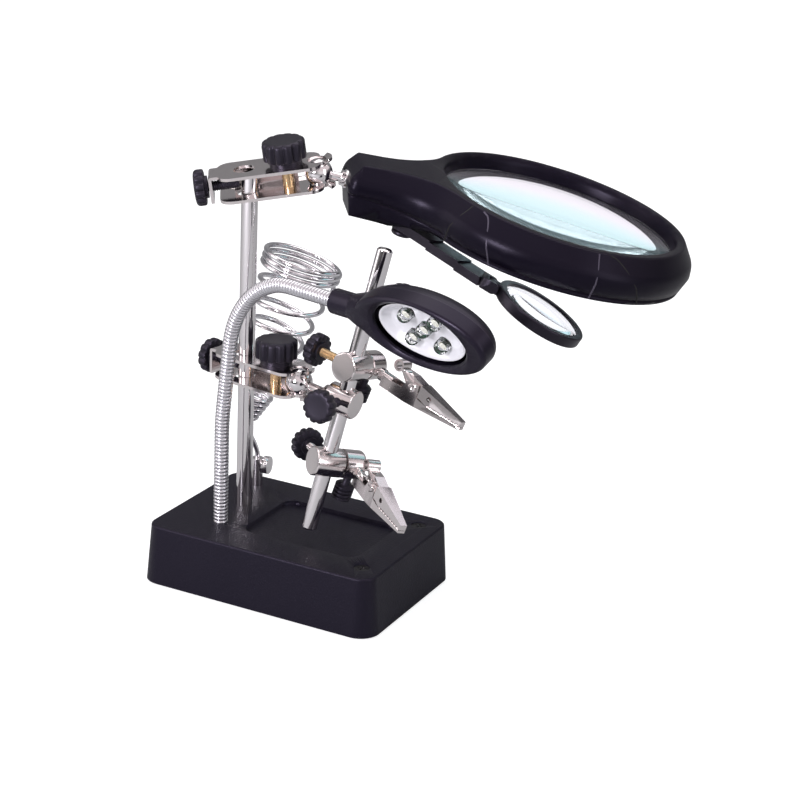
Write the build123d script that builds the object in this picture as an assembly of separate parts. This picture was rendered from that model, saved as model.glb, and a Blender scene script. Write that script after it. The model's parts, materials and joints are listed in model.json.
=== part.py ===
from build123d import *
import math
import os

os.makedirs("parts", exist_ok=True)

# Helping hands clamp: lit magnifier, gooseneck lamp, soldering-iron holder and two clips on a cross rod.
# Millimetres, +Z up. The frame stands at the centre of the footprint, on the plane of the rubber feet.
# +X runs along the base away from the post, and +Y to the back, where the iron holder stands.

# ---------------------------------------------------------------- driving dimensions
BASE_LENGTH = 92.5          # top face
BASE_WIDTH = 63.5
BASE_HEIGHT = 22.7          # table to top face
FOOT_DROP = 0.8             # how far the feet stand proud of the rim
WALL = 2.0
BASE_CORNER = 6.0
BASE_SPREAD = 1.7           # how far each wall leans out towards the table

MAIN_LENS_DIAMETER = 90.0
SMALL_LENS_DIAMETER = 31.0
LED_DIAMETER = 5.0
CELL_DIAMETER = 10.5        # AAA cells
CELL_LENGTH = 44.5

POST_DIAMETER = 6.0
ROD_DIAMETER = 5.7
ROD_LENGTH = 106.5
GOOSENECK_DIAMETER = 5.2
HOLDER_WIRE = 1.9
BALL_DIAMETER = 10.0
CLIP_LENGTH = 36.0

FIT = 0.04                  # radial running clearance of every turning or sliding fit

# ---------------------------------------------------------------- places and poses
POST_X = -BASE_LENGTH / 2 + 20.0
POST_Y = 4.2
GOOSENECK_X = -BASE_LENGTH / 2 + 21.5
GOOSENECK_Y = -BASE_WIDTH / 2 + 17.2
SOCKET_X = -BASE_LENGTH / 2 + 14.1
SOCKET_Y = BASE_WIDTH / 2 - 8.5

BRACKET_REACH = 25.2        # post axis to ball centre
LOWER_BRACKET_Z = 77.4      # mid height of the lower bracket on the post
LOWER_BRACKET_TURN = -10.3
UPPER_BRACKET_Z = 142.3     # lower plate of the upper bracket on the post
UPPER_BRACKET_TURN = 31.0
UPPER_BRACKET_RISE = 9.3    # the upper bracket is clamped askew on the post
UPPER_BRACKET_ROLL = 6.0

HEAD_TURN = 37.6
HEAD_DIP = -13.5
HEAD_ROLL = 5.5
HEAD_REACH = 89.4           # ball centre to lens centre

STEM_TURN = -2.7
STEM_DIP = -9.1
ROD_ROLL = 9.8
LAMP_TURN = -14.0
LAMP_ROLL = -63.0
CLIP_TURN = 8.0            # each clip droops this far from square to its rod


def frame(origin, x_dir, z_dir):
    """Return the location whose X and Z axes run along the two directions."""
    return Plane(origin=origin, x_dir=x_dir, z_dir=z_dir).location


def heading(turn, rise=0.0):
    """Return the unit vector at an angle round Z and a rise above the horizontal, in degrees."""
    flat = math.cos(math.radians(rise))
    return Vector(
        flat * math.cos(math.radians(turn)),
        flat * math.sin(math.radians(turn)),
        math.sin(math.radians(rise)),
    )


def axis_frame(turn, rise, roll, origin=(0, 0, 0)):
    """Return a location with X along a heading, rolled about that X axis."""
    along = heading(turn, rise)
    side = heading(turn + 90)
    level = frame(origin, along, along.cross(side))
    return level * Rot(roll, 0, 0)


def rod_between(start, end, radius):
    """Return a round bar between two points."""
    start = Vector(*start) if not isinstance(start, Vector) else start
    end = Vector(*end) if not isinstance(end, Vector) else end
    run = end - start
    bar = Cylinder(radius, run.length, align=(Align.CENTER, Align.CENTER, Align.MIN))
    return Plane(origin=start, z_dir=run).location * bar


def disc(radius, bottom, top, x=0.0, y=0.0):
    """Return an upright cylinder between two heights."""
    upright = Cylinder(radius, top - bottom, align=(Align.CENTER, Align.CENTER, Align.MIN))
    return Pos(x, y, bottom) * upright


def block(x0, x1, y0, y1, z0, z1):
    """Return a box from its six limits."""
    solid = Box(x1 - x0, y1 - y0, z1 - z0)
    return Pos((x0 + x1) / 2, (y0 + y1) / 2, (z0 + z1) / 2) * solid


def save(node, shape, place=None):
    """Write one named piece to its own file."""
    placed = place * shape if place is not None else shape
    solids = placed.solids()
    piece = solids[0] if len(solids) == 1 else Compound(children=list(solids))
    export_step(piece, f"parts/{node}.step")


# ---------------------------------------------------------------- knobs and screws
FLUTES = 12
FLUTE_DEPTH = 0.09          # of the knob radius


def fluted_knob(radius, height, hub_radius, hub_height, shank_radius, shank_length):
    """Return a fluted knob on a hub, with its shank running down from the hub face at Z = 0."""
    flute = radius * math.pi / FLUTES / 2.2
    outline = Circle(radius)
    outline -= PolarLocations(radius + flute * (1 - FLUTE_DEPTH * 5), FLUTES) * Circle(flute)
    body = Pos(0, 0, hub_height) * extrude(outline, height)
    crown = Pos(0, 0, hub_height) * Cone(
        radius + height, radius - 0.7, height, align=(Align.CENTER, Align.CENTER, Align.MIN)
    )
    body &= crown
    hub = disc(hub_radius, 0, hub_height + 0.5)
    shank = disc(shank_radius, -shank_length, 0.5)
    return body + hub + shank


def bored_knob(radius, height, hub_radius, hub_height, bore_radius):
    """Return a fluted knob on a hub with a blind bore for its bolt."""
    solid = fluted_knob(radius, height, hub_radius, hub_height, bore_radius, 0.1)
    return solid - disc(bore_radius, -1, hub_height + height * 0.55)


# ---------------------------------------------------------------- base
COVER_THICKNESS = 1.8
SHELL_BOTTOM = FOOT_DROP
SHELL_HEIGHT = BASE_HEIGHT - SHELL_BOTTOM
COVER_TOP = SHELL_BOTTOM + COVER_THICKNESS
LEAN = math.degrees(math.atan(BASE_SPREAD / SHELL_HEIGHT))
TRAY_DEPTH = 1.6
TRAY_X0, TRAY_X1 = -14.5, BASE_LENGTH / 2 - 13.5
TRAY_Y0, TRAY_Y1 = -BASE_WIDTH / 2 + 14.4, BASE_WIDTH / 2 - 14.4
SCREW_X = BASE_LENGTH / 2 - 8.0
SCREW_Y = BASE_WIDTH / 2 - 9.6
STUD_RADIUS = 2.5


def base_block(inset, bottom, top):
    """Return the tapered base body, shrunk by an inset, between two heights."""
    grow = 2 * BASE_SPREAD * (BASE_HEIGHT - bottom) / SHELL_HEIGHT
    outline = RectangleRounded(
        BASE_LENGTH + grow - 2 * inset,
        BASE_WIDTH + grow - 2 * inset,
        BASE_CORNER + grow / 2 - inset,
    )
    return Pos(0, 0, bottom) * extrude(outline, top - bottom, taper=LEAN)


def base_shell():
    """Return the moulded base with its sponge tray, bosses and screw seats."""
    shell = base_block(0, SHELL_BOTTOM, BASE_HEIGHT)
    shell = fillet(shell.faces().sort_by(Axis.Z)[-1].edges(), 0.8)
    shell -= base_block(WALL, SHELL_BOTTOM - 0.01, BASE_HEIGHT - WALL)
    tray_width, tray_depth = TRAY_X1 - TRAY_X0, TRAY_Y1 - TRAY_Y0
    tray_middle = ((TRAY_X0 + TRAY_X1) / 2, (TRAY_Y0 + TRAY_Y1) / 2)
    under = Pos(*tray_middle, BASE_HEIGHT - TRAY_DEPTH - WALL) * extrude(
        RectangleRounded(tray_width + 2 * WALL, tray_depth + 2 * WALL, 6), TRAY_DEPTH + 0.5
    )
    tray = Pos(*tray_middle, BASE_HEIGHT - TRAY_DEPTH) * extrude(
        RectangleRounded(tray_width, tray_depth, 5), TRAY_DEPTH + 1
    )
    shell += under
    shell -= tray
    roof = BASE_HEIGHT - WALL
    shell += disc(7.0, roof - 5, roof + 0.5, POST_X, POST_Y)
    shell += disc(5.0, roof - 5, roof + 0.5, GOOSENECK_X, GOOSENECK_Y)
    shell += disc(3.4, roof - 3, roof + 0.5, SOCKET_X, SOCKET_Y)
    shell -= disc(STUD_RADIUS, 0, BASE_HEIGHT + 1, POST_X, POST_Y)
    shell -= disc(GOOSENECK_DIAMETER / 2, 0, BASE_HEIGHT + 1, GOOSENECK_X, GOOSENECK_Y)
    shell -= disc(1.6, 0, BASE_HEIGHT + 1, SOCKET_X, SOCKET_Y)
    for side in (-1, 1):
        seat = side * SCREW_Y
        shell += disc(3.2, COVER_TOP + 4.0, roof + 0.5, SCREW_X, seat)
        shell -= disc(1.6, 0, BASE_HEIGHT + 1, SCREW_X, seat)
        shell -= disc(2.9, BASE_HEIGHT - 1.7, BASE_HEIGHT + 1, SCREW_X, seat)
    return shell


def base_screws():
    """Return the two cross-recessed screws that hold the right end of the cover."""
    shank_bottom = COVER_TOP + 0.4
    screws = []
    for side in (-1, 1):
        screw = disc(2.8, BASE_HEIGHT - 1.7, BASE_HEIGHT - 0.3, SCREW_X, side * SCREW_Y)
        for turn in (0, 90):
            slot = Pos(SCREW_X, side * SCREW_Y, BASE_HEIGHT - 0.3) * Rot(0, 0, turn) * Box(3.2, 0.7, 1.4)
            screw -= slot
        screw += disc(1.55, shank_bottom, BASE_HEIGHT - 1.6, SCREW_X, side * SCREW_Y)
        screws.append(screw)
    return screws[0] + screws[1]


CELLS = 3
CELL_PITCH = CELL_DIAMETER + 0.4
BAY_X = 6.0
BAY_LENGTH = CELL_LENGTH + 4.0
BAY_WIDTH = CELLS * CELL_PITCH + 0.8
BAY_WALL = 1.2
BAY_TOP = COVER_TOP + CELL_DIAMETER + 1.0
DOOR_THICKNESS = 1.2
DOOR_LIP = 1.6


def base_cover():
    """Return the cover under the base with its open battery bay."""
    cover = base_block(WALL + 0.1, SHELL_BOTTOM, COVER_TOP)
    outer_x, outer_y = BAY_LENGTH / 2 + BAY_WALL, BAY_WIDTH / 2 + BAY_WALL
    cover += block(BAY_X - outer_x, BAY_X + outer_x, -outer_y, outer_y, SHELL_BOTTOM, BAY_TOP + BAY_WALL)
    cover -= block(
        BAY_X - BAY_LENGTH / 2, BAY_X + BAY_LENGTH / 2, -BAY_WIDTH / 2, BAY_WIDTH / 2, 0, BAY_TOP
    )
    rail = DOOR_LIP / 2
    groove_end = BASE_LENGTH / 2 + 10
    cover -= block(
        BAY_X - BAY_LENGTH / 2 - 2 * rail, groove_end,
        -BAY_WIDTH / 2 - rail, BAY_WIDTH / 2 + rail,
        SHELL_BOTTOM - 1, SHELL_BOTTOM + DOOR_THICKNESS + 0.05,
    )
    for side in (-1, 1):
        cover += disc(3.0, COVER_TOP - 0.2, COVER_TOP + 3.9, SCREW_X, side * SCREW_Y)
        cover -= disc(1.55, COVER_TOP + 0.3, COVER_TOP + 5, SCREW_X, side * SCREW_Y)
    for x, y in foot_places():
        cover -= disc(FOOT_RADIUS, 0, SHELL_BOTTOM + FOOT_SEAT, x, y)
    return cover


FOOT_RADIUS = 4.0
FOOT_SEAT = 0.8


def foot_places():
    """Return the four places of the rubber feet."""
    reach_x, reach_y = BASE_LENGTH / 2 - 9.0, BASE_WIDTH / 2 - 7.5
    return [(x, y) for x in (-reach_x, reach_x) for y in (-reach_y, reach_y)]


def rubber_feet():
    """Return the four round feet in their shallow seats."""
    feet = Part()
    for x, y in foot_places():
        foot = disc(FOOT_RADIUS, 0, SHELL_BOTTOM + FOOT_SEAT, x, y)
        feet += chamfer(foot.edges().group_by(Axis.Z)[0], 0.3)
    return feet


def battery_door():
    """Return the sliding door with its ribbed thumb grip."""
    x0 = BAY_X - BAY_LENGTH / 2 - DOOR_LIP + 0.1
    x1 = BAY_X + BAY_LENGTH / 2 + DOOR_LIP
    half = BAY_WIDTH / 2 + DOOR_LIP / 2 - 0.1
    door = block(x0, x1, -half, half, SHELL_BOTTOM, SHELL_BOTTOM + DOOR_THICKNESS)
    for rib in range(4):
        groove = block(x1 - 5 - rib * 1.6, x1 - 4.2 - rib * 1.6, -7, 7, SHELL_BOTTOM - 1, SHELL_BOTTOM + 0.4)
        door -= groove
    return door


def battery_cells():
    """Return three AAA cells side by side, one turned end for end."""
    level = SHELL_BOTTOM + DOOR_THICKNESS + CELL_DIAMETER / 2 + 0.1
    cells = Part()
    for index in range(CELLS):
        y = (index - (CELLS - 1) / 2) * CELL_PITCH
        way = -1 if index % 2 else 1
        body = Rot(0, 90, 0) * Cylinder(CELL_DIAMETER / 2, CELL_LENGTH - 1.0)
        nub = Rot(0, 90, 0) * Cylinder(1.9, 1.0)
        cell = Pos(-way * 0.5, 0, 0) * body + Pos(way * (CELL_LENGTH / 2 - 0.5), 0, 0) * nub
        cells += Pos(BAY_X, y, level) * cell
    return cells


def battery_contacts():
    """Return the two sprung contact strips at the ends of the bay."""
    level = SHELL_BOTTOM + DOOR_THICKNESS + CELL_DIAMETER / 2
    strips = Part()
    for side in (-1, 1):
        end = BAY_X + side * BAY_LENGTH / 2
        near, far = sorted((end, end - side * 0.5))
        strip = block(near, far, -BAY_WIDTH / 2 + 1, BAY_WIDTH / 2 - 1, level - 4, level + 4)
        for index in range(CELLS):
            y = (index - (CELLS - 1) / 2) * CELL_PITCH
            spring = Rot(0, 90 * -side, 0) * Cone(3.0, 1.4, 1.45, align=(Align.CENTER, Align.CENTER, Align.MIN))
            strip += Pos(end - side * 0.5, y, level) * spring
        strips += strip
    return strips


# ---------------------------------------------------------------- post and iron-holder socket
POST_TOP = UPPER_BRACKET_Z + 7.4


def post():
    """Return the chrome post, with the threaded stud that passes through the base."""
    bar = disc(POST_DIAMETER / 2, BASE_HEIGHT, POST_TOP, POST_X, POST_Y)
    bar = chamfer(bar.edges().sort_by(Axis.Z)[-1], 0.5)
    return bar + disc(STUD_RADIUS, BASE_HEIGHT - WALL - 9, BASE_HEIGHT + 0.5, POST_X, POST_Y)


def post_nut():
    """Return the hexagon nut that clamps the post under the base."""
    top = BASE_HEIGHT - WALL - 5
    nut = Pos(POST_X, POST_Y, top - 3.5) * extrude(RegularPolygon(4.6, 6), 3.5)
    return nut - disc(STUD_RADIUS, 0, BASE_HEIGHT, POST_X, POST_Y)


SOCKET_RADIUS = 2.2
SOCKET_TOP = BASE_HEIGHT + 11.0
SOCKET_SCREW_Z = BASE_HEIGHT + 8.6
SOCKET_SCREW_TURN = 8.0


def holder_socket():
    """Return the small tube on the base that takes the tail of the iron holder."""
    tube = disc(SOCKET_RADIUS, BASE_HEIGHT, SOCKET_TOP, SOCKET_X, SOCKET_Y)
    tube += disc(1.6, BASE_HEIGHT - WALL - 2, BASE_HEIGHT + 0.5, SOCKET_X, SOCKET_Y)
    tube -= disc(HOLDER_WIRE / 2 + FIT, BASE_HEIGHT + 1.5, SOCKET_TOP + 1, SOCKET_X, SOCKET_Y)
    bore = Cylinder(0.8 + FIT, 6, align=(Align.CENTER, Align.CENTER, Align.MIN))
    return tube - socket_screw_place() * Pos(0, 0, -2) * bore


def socket_screw_place():
    """Return the place of the thumbscrew, its Z axis pointing out of the socket."""
    out = heading(SOCKET_SCREW_TURN)
    middle = Vector(SOCKET_X, SOCKET_Y, SOCKET_SCREW_Z) + out * SOCKET_RADIUS
    return frame(middle, heading(SOCKET_SCREW_TURN + 90), out)


def holder_screw():
    """Return the chrome thumbscrew that pinches the holder's tail."""
    reach = SOCKET_RADIUS - HOLDER_WIRE / 2 - 2 * FIT
    return disc(0.8, -reach, 1.0) + disc(1.5, 0.2, 0.8) + disc(3.4, 0.6, 2.8)


# ---------------------------------------------------------------- soldering-iron holder
HOLDER_FOOT_Z = BASE_HEIGHT + 1.7
CONE_START = Vector(SOCKET_X - 2.8, SOCKET_Y - 1.9, 50.6)
HOLDER_AXIS = Vector(0.255, 0.141, 0.957).normalized()
# turns, rise per turn and end radius of each stretch of the coil, from the cone to the mouth
COIL_STRETCHES = (
    (4.5, 2.15, 5.8),
    (2.0, 13.0, 10.8),
    (1.0, 7.0, 11.6),
    (1.0, 9.0, 13.0),
    (1.0, 8.0, 14.4),
    (2.8, 2.3, 14.6),
)
CONE_RADIUS = 2.6
COIL_STEPS = 8              # points per turn


def coil_points():
    """Return the points of the coil from the top of the tail to the mouth."""
    side = HOLDER_AXIS.cross(Vector(0, 0, 1)).normalized()
    other = HOLDER_AXIS.cross(side)
    points = []
    height, radius, angle = 0.0, CONE_RADIUS, 0.0
    for turns, pitch, end_radius in COIL_STRETCHES:
        steps = round(turns * COIL_STEPS)
        grow = (end_radius - radius) / steps
        for step in range(steps):
            around = side * (radius * math.cos(angle)) + other * (radius * math.sin(angle))
            points.append(CONE_START + HOLDER_AXIS * height + around)
            radius += grow
            height += pitch / COIL_STEPS
            angle += 2 * math.pi / COIL_STEPS
    return points


def iron_holder():
    """Return the coiled wire holder: a straight tail in the socket and the swept coil."""
    tail_top = Vector(SOCKET_X, SOCKET_Y, SOCKET_TOP + 1.0)
    coil = coil_points()
    ends = [Vector(0, 0, 1), (coil[-1] - coil[-2]).normalized()]
    path = Spline(tail_top, *coil, tangents=ends, tangent_scalars=[1.0, 1.0])
    wire = sweep(Plane(tail_top) * Circle(HOLDER_WIRE / 2), path=path, is_frenet=True)
    return wire + disc(HOLDER_WIRE / 2, HOLDER_FOOT_Z, SOCKET_TOP + 1.0, SOCKET_X, SOCKET_Y)


# ---------------------------------------------------------------- gooseneck
NECK_HINGE_Z = 62.0
ARC_RADIUS = 28.0
NECK_LEAN = 3.4             # how far the tube has moved out where the arc starts
ARC_Z = 91.9
NECK_END = 53.6             # foot to the end of the tube, along its plane


def neck_frame():
    """Return the place of the gooseneck's plane: X outwards, Z up, from the foot."""
    return frame((GOOSENECK_X, GOOSENECK_Y, 0), heading(LAMP_TURN), (0, 0, 1))


def gooseneck_lower():
    """Return the upright stretch of the ribbed tube."""
    radius = GOOSENECK_DIAMETER / 2
    return disc(radius, BASE_HEIGHT - WALL - 4, NECK_HINGE_Z - radius - FIT)


def gooseneck_upper():
    """Return the bent stretch of the ribbed tube up to the lamp."""
    radius = GOOSENECK_DIAMETER / 2
    start = (0, 0, NECK_HINGE_Z)
    lean = math.degrees(math.atan(NECK_LEAN / (ARC_Z - NECK_HINGE_Z)))
    sweep_angle = 90 - lean
    shoulder = Vector(NECK_LEAN, 0, ARC_Z)
    arc_end = shoulder + Vector(
        ARC_RADIUS * (1 - math.cos(math.radians(sweep_angle))) * 1.02, 0,
        ARC_RADIUS * math.sin(math.radians(sweep_angle)),
    )
    straight = Line(start, shoulder)
    bend = TangentArc(shoulder, arc_end, tangent=straight % 1)
    tail = Line(arc_end, (NECK_END + 4, 0, arc_end.Z))
    path = Wire([straight, bend, tail])
    tube = sweep(Plane(origin=start, z_dir=straight % 0) * Circle(radius), path=path, transition=Transition.ROUND)
    return tube + Pos(*start) * Sphere(radius), arc_end.Z


# ---------------------------------------------------------------- lamp head
LAMP_LENGTH = 55.0
LAMP_WIDTH = 28.6
LAMP_DEPTH = 14.6
LAMP_MIDDLE = 39.5          # neck end to the middle of the reflector
LAMP_SEAM = 6.0
NECK_RADIUS = 4.4
NECK_LEVEL = 4.8
REFLECTOR_LENGTH = 36.0
REFLECTOR_WIDTH = 21.6
BUTTON_X = -16.0
LED_SPREAD_X, LED_SPREAD_Y = 6.2, 4.8
BOARD_Z = LAMP_SEAM + 1.3


def lamp_oval(inset, share=1.0):
    """Return the plan of the lamp head, inset all round and scaled to a share of its size."""
    return Ellipse((LAMP_LENGTH / 2 - inset) * share, (LAMP_WIDTH / 2 - inset) * share)


def lamp_body(inset):
    """Return the straight rim of the lamp head with its domed back."""
    rim = Pos(0, 0, inset) * extrude(lamp_oval(inset), LAMP_SEAM - inset)
    rise = LAMP_DEPTH - LAMP_SEAM - inset
    sections = []
    for part in (0.0, 0.4, 0.7, 0.88, 0.97):
        share = math.sqrt(1 - part ** 2)
        sections.append(Pos(0, 0, LAMP_SEAM + rise * part) * lamp_oval(inset, share))
    return rim + loft(sections)


def lamp_outer():
    """Return the outside of the lamp head, bezel down, its reflector centred on Z."""
    body = lamp_body(0)
    body = fillet(body.faces().sort_by(Axis.Z)[0].edges(), 1.6)
    neck = Pos(-LAMP_MIDDLE, 0, NECK_LEVEL) * Rot(0, 90, 0) * Cylinder(
        NECK_RADIUS, 16, align=(Align.CENTER, Align.CENTER, Align.MIN)
    )
    flare = Pos(8 - LAMP_MIDDLE, 0, NECK_LEVEL) * Rot(0, 90, 0) * Cone(
        NECK_RADIUS, NECK_RADIUS + 4, 12, align=(Align.CENTER, Align.CENTER, Align.MIN)
    )
    return body + ((neck + flare) & block(-80, 80, -40, 40, 0, LAMP_DEPTH))


def lamp_inner():
    """Return the hollow inside the lamp head."""
    return lamp_body(1.7)


def reflector_oval(grow):
    """Return the outline of the reflector's mouth, grown by a margin."""
    return Ellipse(REFLECTOR_LENGTH / 2 + grow, REFLECTOR_WIDTH / 2 + grow)


def lamp_front_shell():
    """Return the lower half of the lamp head, with the sloping bezel round the reflector."""
    shell = (lamp_outer() - lamp_inner()) & block(-80, 80, -40, 40, -1, LAMP_SEAM)
    mouth = loft([reflector_oval(3.0), Pos(0, 0, 2.6) * reflector_oval(0.1)])
    throat = Pos(0, 0, 1.0) * extrude(reflector_oval(0.1), 6)
    shell -= mouth
    shell -= throat
    return shell - neck_bore()


def neck_bore():
    """Return the hole that takes the end of the gooseneck."""
    return Pos(-LAMP_MIDDLE - 1, 0, NECK_LEVEL) * Rot(0, 90, 0) * Cylinder(
        GOOSENECK_DIAMETER / 2 + FIT, 6, align=(Align.CENTER, Align.CENTER, Align.MIN)
    )


def lamp_back_shell():
    """Return the upper half of the lamp head, with the collar round the push button."""
    shell = lamp_outer() - lamp_inner()
    shell += disc(6.2, LAMP_DEPTH - 6.0, LAMP_DEPTH + 0.6, BUTTON_X)
    shell = shell & block(-80, 80, -40, 40, LAMP_SEAM, LAMP_DEPTH + 5)
    shell -= disc(5.0 + FIT * 4, LAMP_DEPTH - 7.0, LAMP_DEPTH + 5, BUTTON_X)
    return shell - neck_bore()


def lamp_reflector():
    """Return the bright oval dish with five holes for the lamps."""
    dish = loft([Pos(0, 0, 2.65) * reflector_oval(0), Pos(0, 0, 6.4) * reflector_oval(-2.6)])
    dish += Pos(0, 0, 2.65) * extrude(reflector_oval(0), 0.5)
    hollow = loft([Pos(0, 0, 2.64) * reflector_oval(-0.8), Pos(0, 0, 5.6) * reflector_oval(-3.2)])
    dish -= hollow
    for x, y in led_places():
        dish -= disc(LED_DIAMETER / 2 + 0.05, 0, 12, x, y)
    return dish


def led_places():
    """Return the places of the five lamps: four at the corners and one in the middle."""
    corners = [(x, y) for x in (-LED_SPREAD_X, LED_SPREAD_X) for y in (-LED_SPREAD_Y, LED_SPREAD_Y)]
    return corners + [(0.0, 0.0)]


def lamp_leds():
    """Return the five lamps, domes down, standing on their board."""
    lamps = Part()
    for x, y in led_places():
        dome = Pos(x, y, 3.4) * Sphere(LED_DIAMETER / 2)
        stem = disc(LED_DIAMETER / 2, 3.4, BOARD_Z, x, y)
        flange = disc(LED_DIAMETER / 2 + 0.4, BOARD_Z - 0.6, BOARD_Z, x, y)
        lamps += dome + stem + flange
    return lamps


def lamp_board():
    """Return the circuit board behind the lamps."""
    return Pos(0, 0, BOARD_Z) * extrude(Ellipse(16.2, 8.4), 1.0)


def lamp_button():
    """Return the round push button on the back of the lamp head."""
    cap = disc(5.0, LAMP_DEPTH - 3.0, LAMP_DEPTH + 2.6, BUTTON_X)
    cap = fillet(cap.edges().sort_by(Axis.Z)[-1], 0.9)
    stem = disc(1.6, 9.2 + 1.3, LAMP_DEPTH - 2.5, BUTTON_X)
    return cap + stem


# ---------------------------------------------------------------- ball bracket
PLATE = 1.1
PLATE_GAP = 7.4             # between the two plates
BRACKET_FRONT = -8.5
BRACKET_BACK = 8.8
BRACKET_LEFT = -10.5
BALL_RADIUS = BALL_DIAMETER / 2
LIP_START = 3.7             # where the plates start to flare, from the ball centre
LIP_END = 5.5
LIP_ANGLE = 18.0
LIP_SPREAD = 90.0
POST_HOLE = POST_DIAMETER / 2 + 0.8
FLANGE_X = -13.6
BOLT_X = 14.2
BOLT_RADIUS = 2.1
POST_OFFSET = POST_HOLE - POST_DIAMETER / 2 - 0.1


def bracket_plate():
    """Return the lower plate, inner face at half the gap below Z = 0."""
    outline = Polygon(
        (BRACKET_LEFT, BRACKET_FRONT), (BRACKET_REACH + 1.2, BRACKET_FRONT),
        (BRACKET_REACH + 1.2, BRACKET_BACK), (BRACKET_LEFT, BRACKET_BACK),
        align=None,
    )
    left = outline.vertices().group_by(Axis.X)[0]
    outline = fillet(left, 5.0)
    right = outline.vertices().group_by(Axis.X)[-1]
    outline = fillet(right, 4.5)
    outline += Pos(BRACKET_REACH, 0) * Circle(LIP_START)
    outline -= Pos(-POST_OFFSET, 0) * Circle(POST_HOLE)
    outline -= Pos(BOLT_X, 0) * Circle(BOLT_RADIUS)
    hole = math.sqrt((BALL_RADIUS + FIT) ** 2 - (PLATE_GAP / 2) ** 2)
    outline -= Pos(BRACKET_REACH, 0) * Circle(hole)
    plate = Pos(0, 0, -PLATE_GAP / 2 - PLATE) * extrude(outline, PLATE)
    run = LIP_END - LIP_START + 0.3
    drop = run * math.tan(math.radians(LIP_ANGLE))
    top = -PLATE_GAP / 2
    section = Plane.XZ * Polygon(
        (LIP_START - 0.3, top), (LIP_END, top - drop),
        (LIP_END, top - drop - PLATE), (LIP_START - 0.3, top - PLATE), align=None,
    )
    lip = revolve(section, Axis.Z, LIP_SPREAD)
    return plate + Pos(BRACKET_REACH, 0, 0) * Rot(0, 0, -LIP_SPREAD / 2) * lip


def bracket_channel():
    """Return the stamped channel: two plates, the back web and the bent end flange."""
    lower = bracket_plate()
    upper = mirror(lower, Plane.XY)
    half = PLATE_GAP / 2 + PLATE
    web = block(BRACKET_LEFT + 5, BRACKET_REACH - 7.5, BRACKET_BACK - PLATE, BRACKET_BACK, -half, half)
    flange = block(FLANGE_X, FLANGE_X + PLATE, -5.0, 5.0, -half, half)
    bridge = block(FLANGE_X, BRACKET_LEFT + 1, -5.0, 5.0, PLATE_GAP / 2, half)
    flange = fillet((flange + bridge).edges().filter_by(Axis.Y).sort_by(lambda e: e.center().X - e.center().Z)[0], 1.0)
    body = lower + upper + web + flange
    screw_hole = Pos(FLANGE_X - 1, 0, 0) * Rot(0, 90, 0) * Cylinder(
        SCREW_RADIUS + FIT, 4, align=(Align.CENTER, Align.CENTER, Align.MIN)
    )
    return body - screw_hole


SCREW_RADIUS = 1.9
POST_KNOB_RADIUS = 6.5


def post_screw():
    """Return the black thumbscrew that locks a bracket on the post, pointing along +X."""
    tip = -POST_DIAMETER / 2 - FIT
    knob = fluted_knob(POST_KNOB_RADIUS, 3.8, 4.0, 1.0, SCREW_RADIUS, tip - FLANGE_X + 0.6)
    return Pos(FLANGE_X - 0.6, 0, 0) * Rot(0, -90, 0) * knob


def ball_bolt():
    """Return the zinc bolt between the plates, its round head below them."""
    head = -PLATE_GAP / 2 - PLATE
    bolt = disc(BOLT_RADIUS - 0.02, head - 0.5, PLATE_GAP / 2 + PLATE + 4.0, BOLT_X)
    dome = Pos(BOLT_X, 0, head) * Sphere(3.4)
    dome &= block(BOLT_X - 5, BOLT_X + 5, -5, 5, head - 1.9, head)
    return bolt + dome


def ball_knob():
    """Return the tall fluted knob that draws the two plates together on the ball."""
    knob = bored_knob(7.8, 7.0, 5.8, 1.8, BOLT_RADIUS + FIT)
    return Pos(BOLT_X, 0, PLATE_GAP / 2 + PLATE + 0.05) * knob


def ball():
    """Return the chrome ball, centred on the origin."""
    return Sphere(BALL_RADIUS)


def turned_stem(stations):
    """Return a stem turned about X through (x, radius) stations, hollowed to ride on the ball."""
    seat = BALL_RADIUS + FIT
    edge = math.asin(STEM_WAIST / seat)
    rim = (seat * math.cos(edge), STEM_WAIST)
    middle = (seat * math.cos(edge / 2), seat * math.sin(edge / 2))
    dish = ThreePointArc((seat, 0), middle, rim)
    outline = Polyline(rim, *stations, (stations[-1][0], 0), (seat, 0))
    return revolve(make_face([dish, outline]), Axis.X)


# ---------------------------------------------------------------- magnifier head
RING_OUTER = MAIN_LENS_DIAMETER / 2 + 7.8
RING_OPENING = MAIN_LENS_DIAMETER / 2 - 1.2
RING_TOP = 10.0
RING_BOTTOM = -6.5
HANDLE_END = -79.8
HANDLE_HALF = 11.5
HANDLE_TOP = 8.2
HANDLE_BOTTOM = -10.5
HANDLE_FLARE = 26.0
SHOULDER_Z = 3.5            # where the wall starts to lean in over the lens
SHOULDER_ROUND = 6.0
WALL_DRAFT = 8.0
SHOULDER_DRAFT = 36.0
LOWER_DRAFT = 18.0
RIM_ROUND = 1.2
HEAD_SHELL = 2.0
LENS_SEAT = 1.0             # underside of the lens rim
LENS_EDGE = 3.2
LENS_RADIUS = 200.0         # curvature of each face
PIVOT_X, PIVOT_Y = -54.4, -2.4
STEM_WAIST = 1.6
STEM_COLLAR = 2.8
STEM_TAIL = 3.3


def head_outline(inset):
    """Return the plan of the magnifier at its widest: the ring and its flared handle."""
    grip = Polygon(
        (HANDLE_END + inset, -HANDLE_HALF + inset), (-30, -HANDLE_HALF - 2 + inset),
        (-30, HANDLE_HALF + 2 - inset), (HANDLE_END + inset, HANDLE_HALF - inset),
        align=None,
    )
    plan = Circle(RING_OUTER - inset) + grip
    waist = plan.vertices().filter_by(lambda v: -60 < v.X < -40)
    plan = fillet(waist, HANDLE_FLARE)
    return fillet(plan.vertices().group_by(Axis.X)[0], 3.5)


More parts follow.
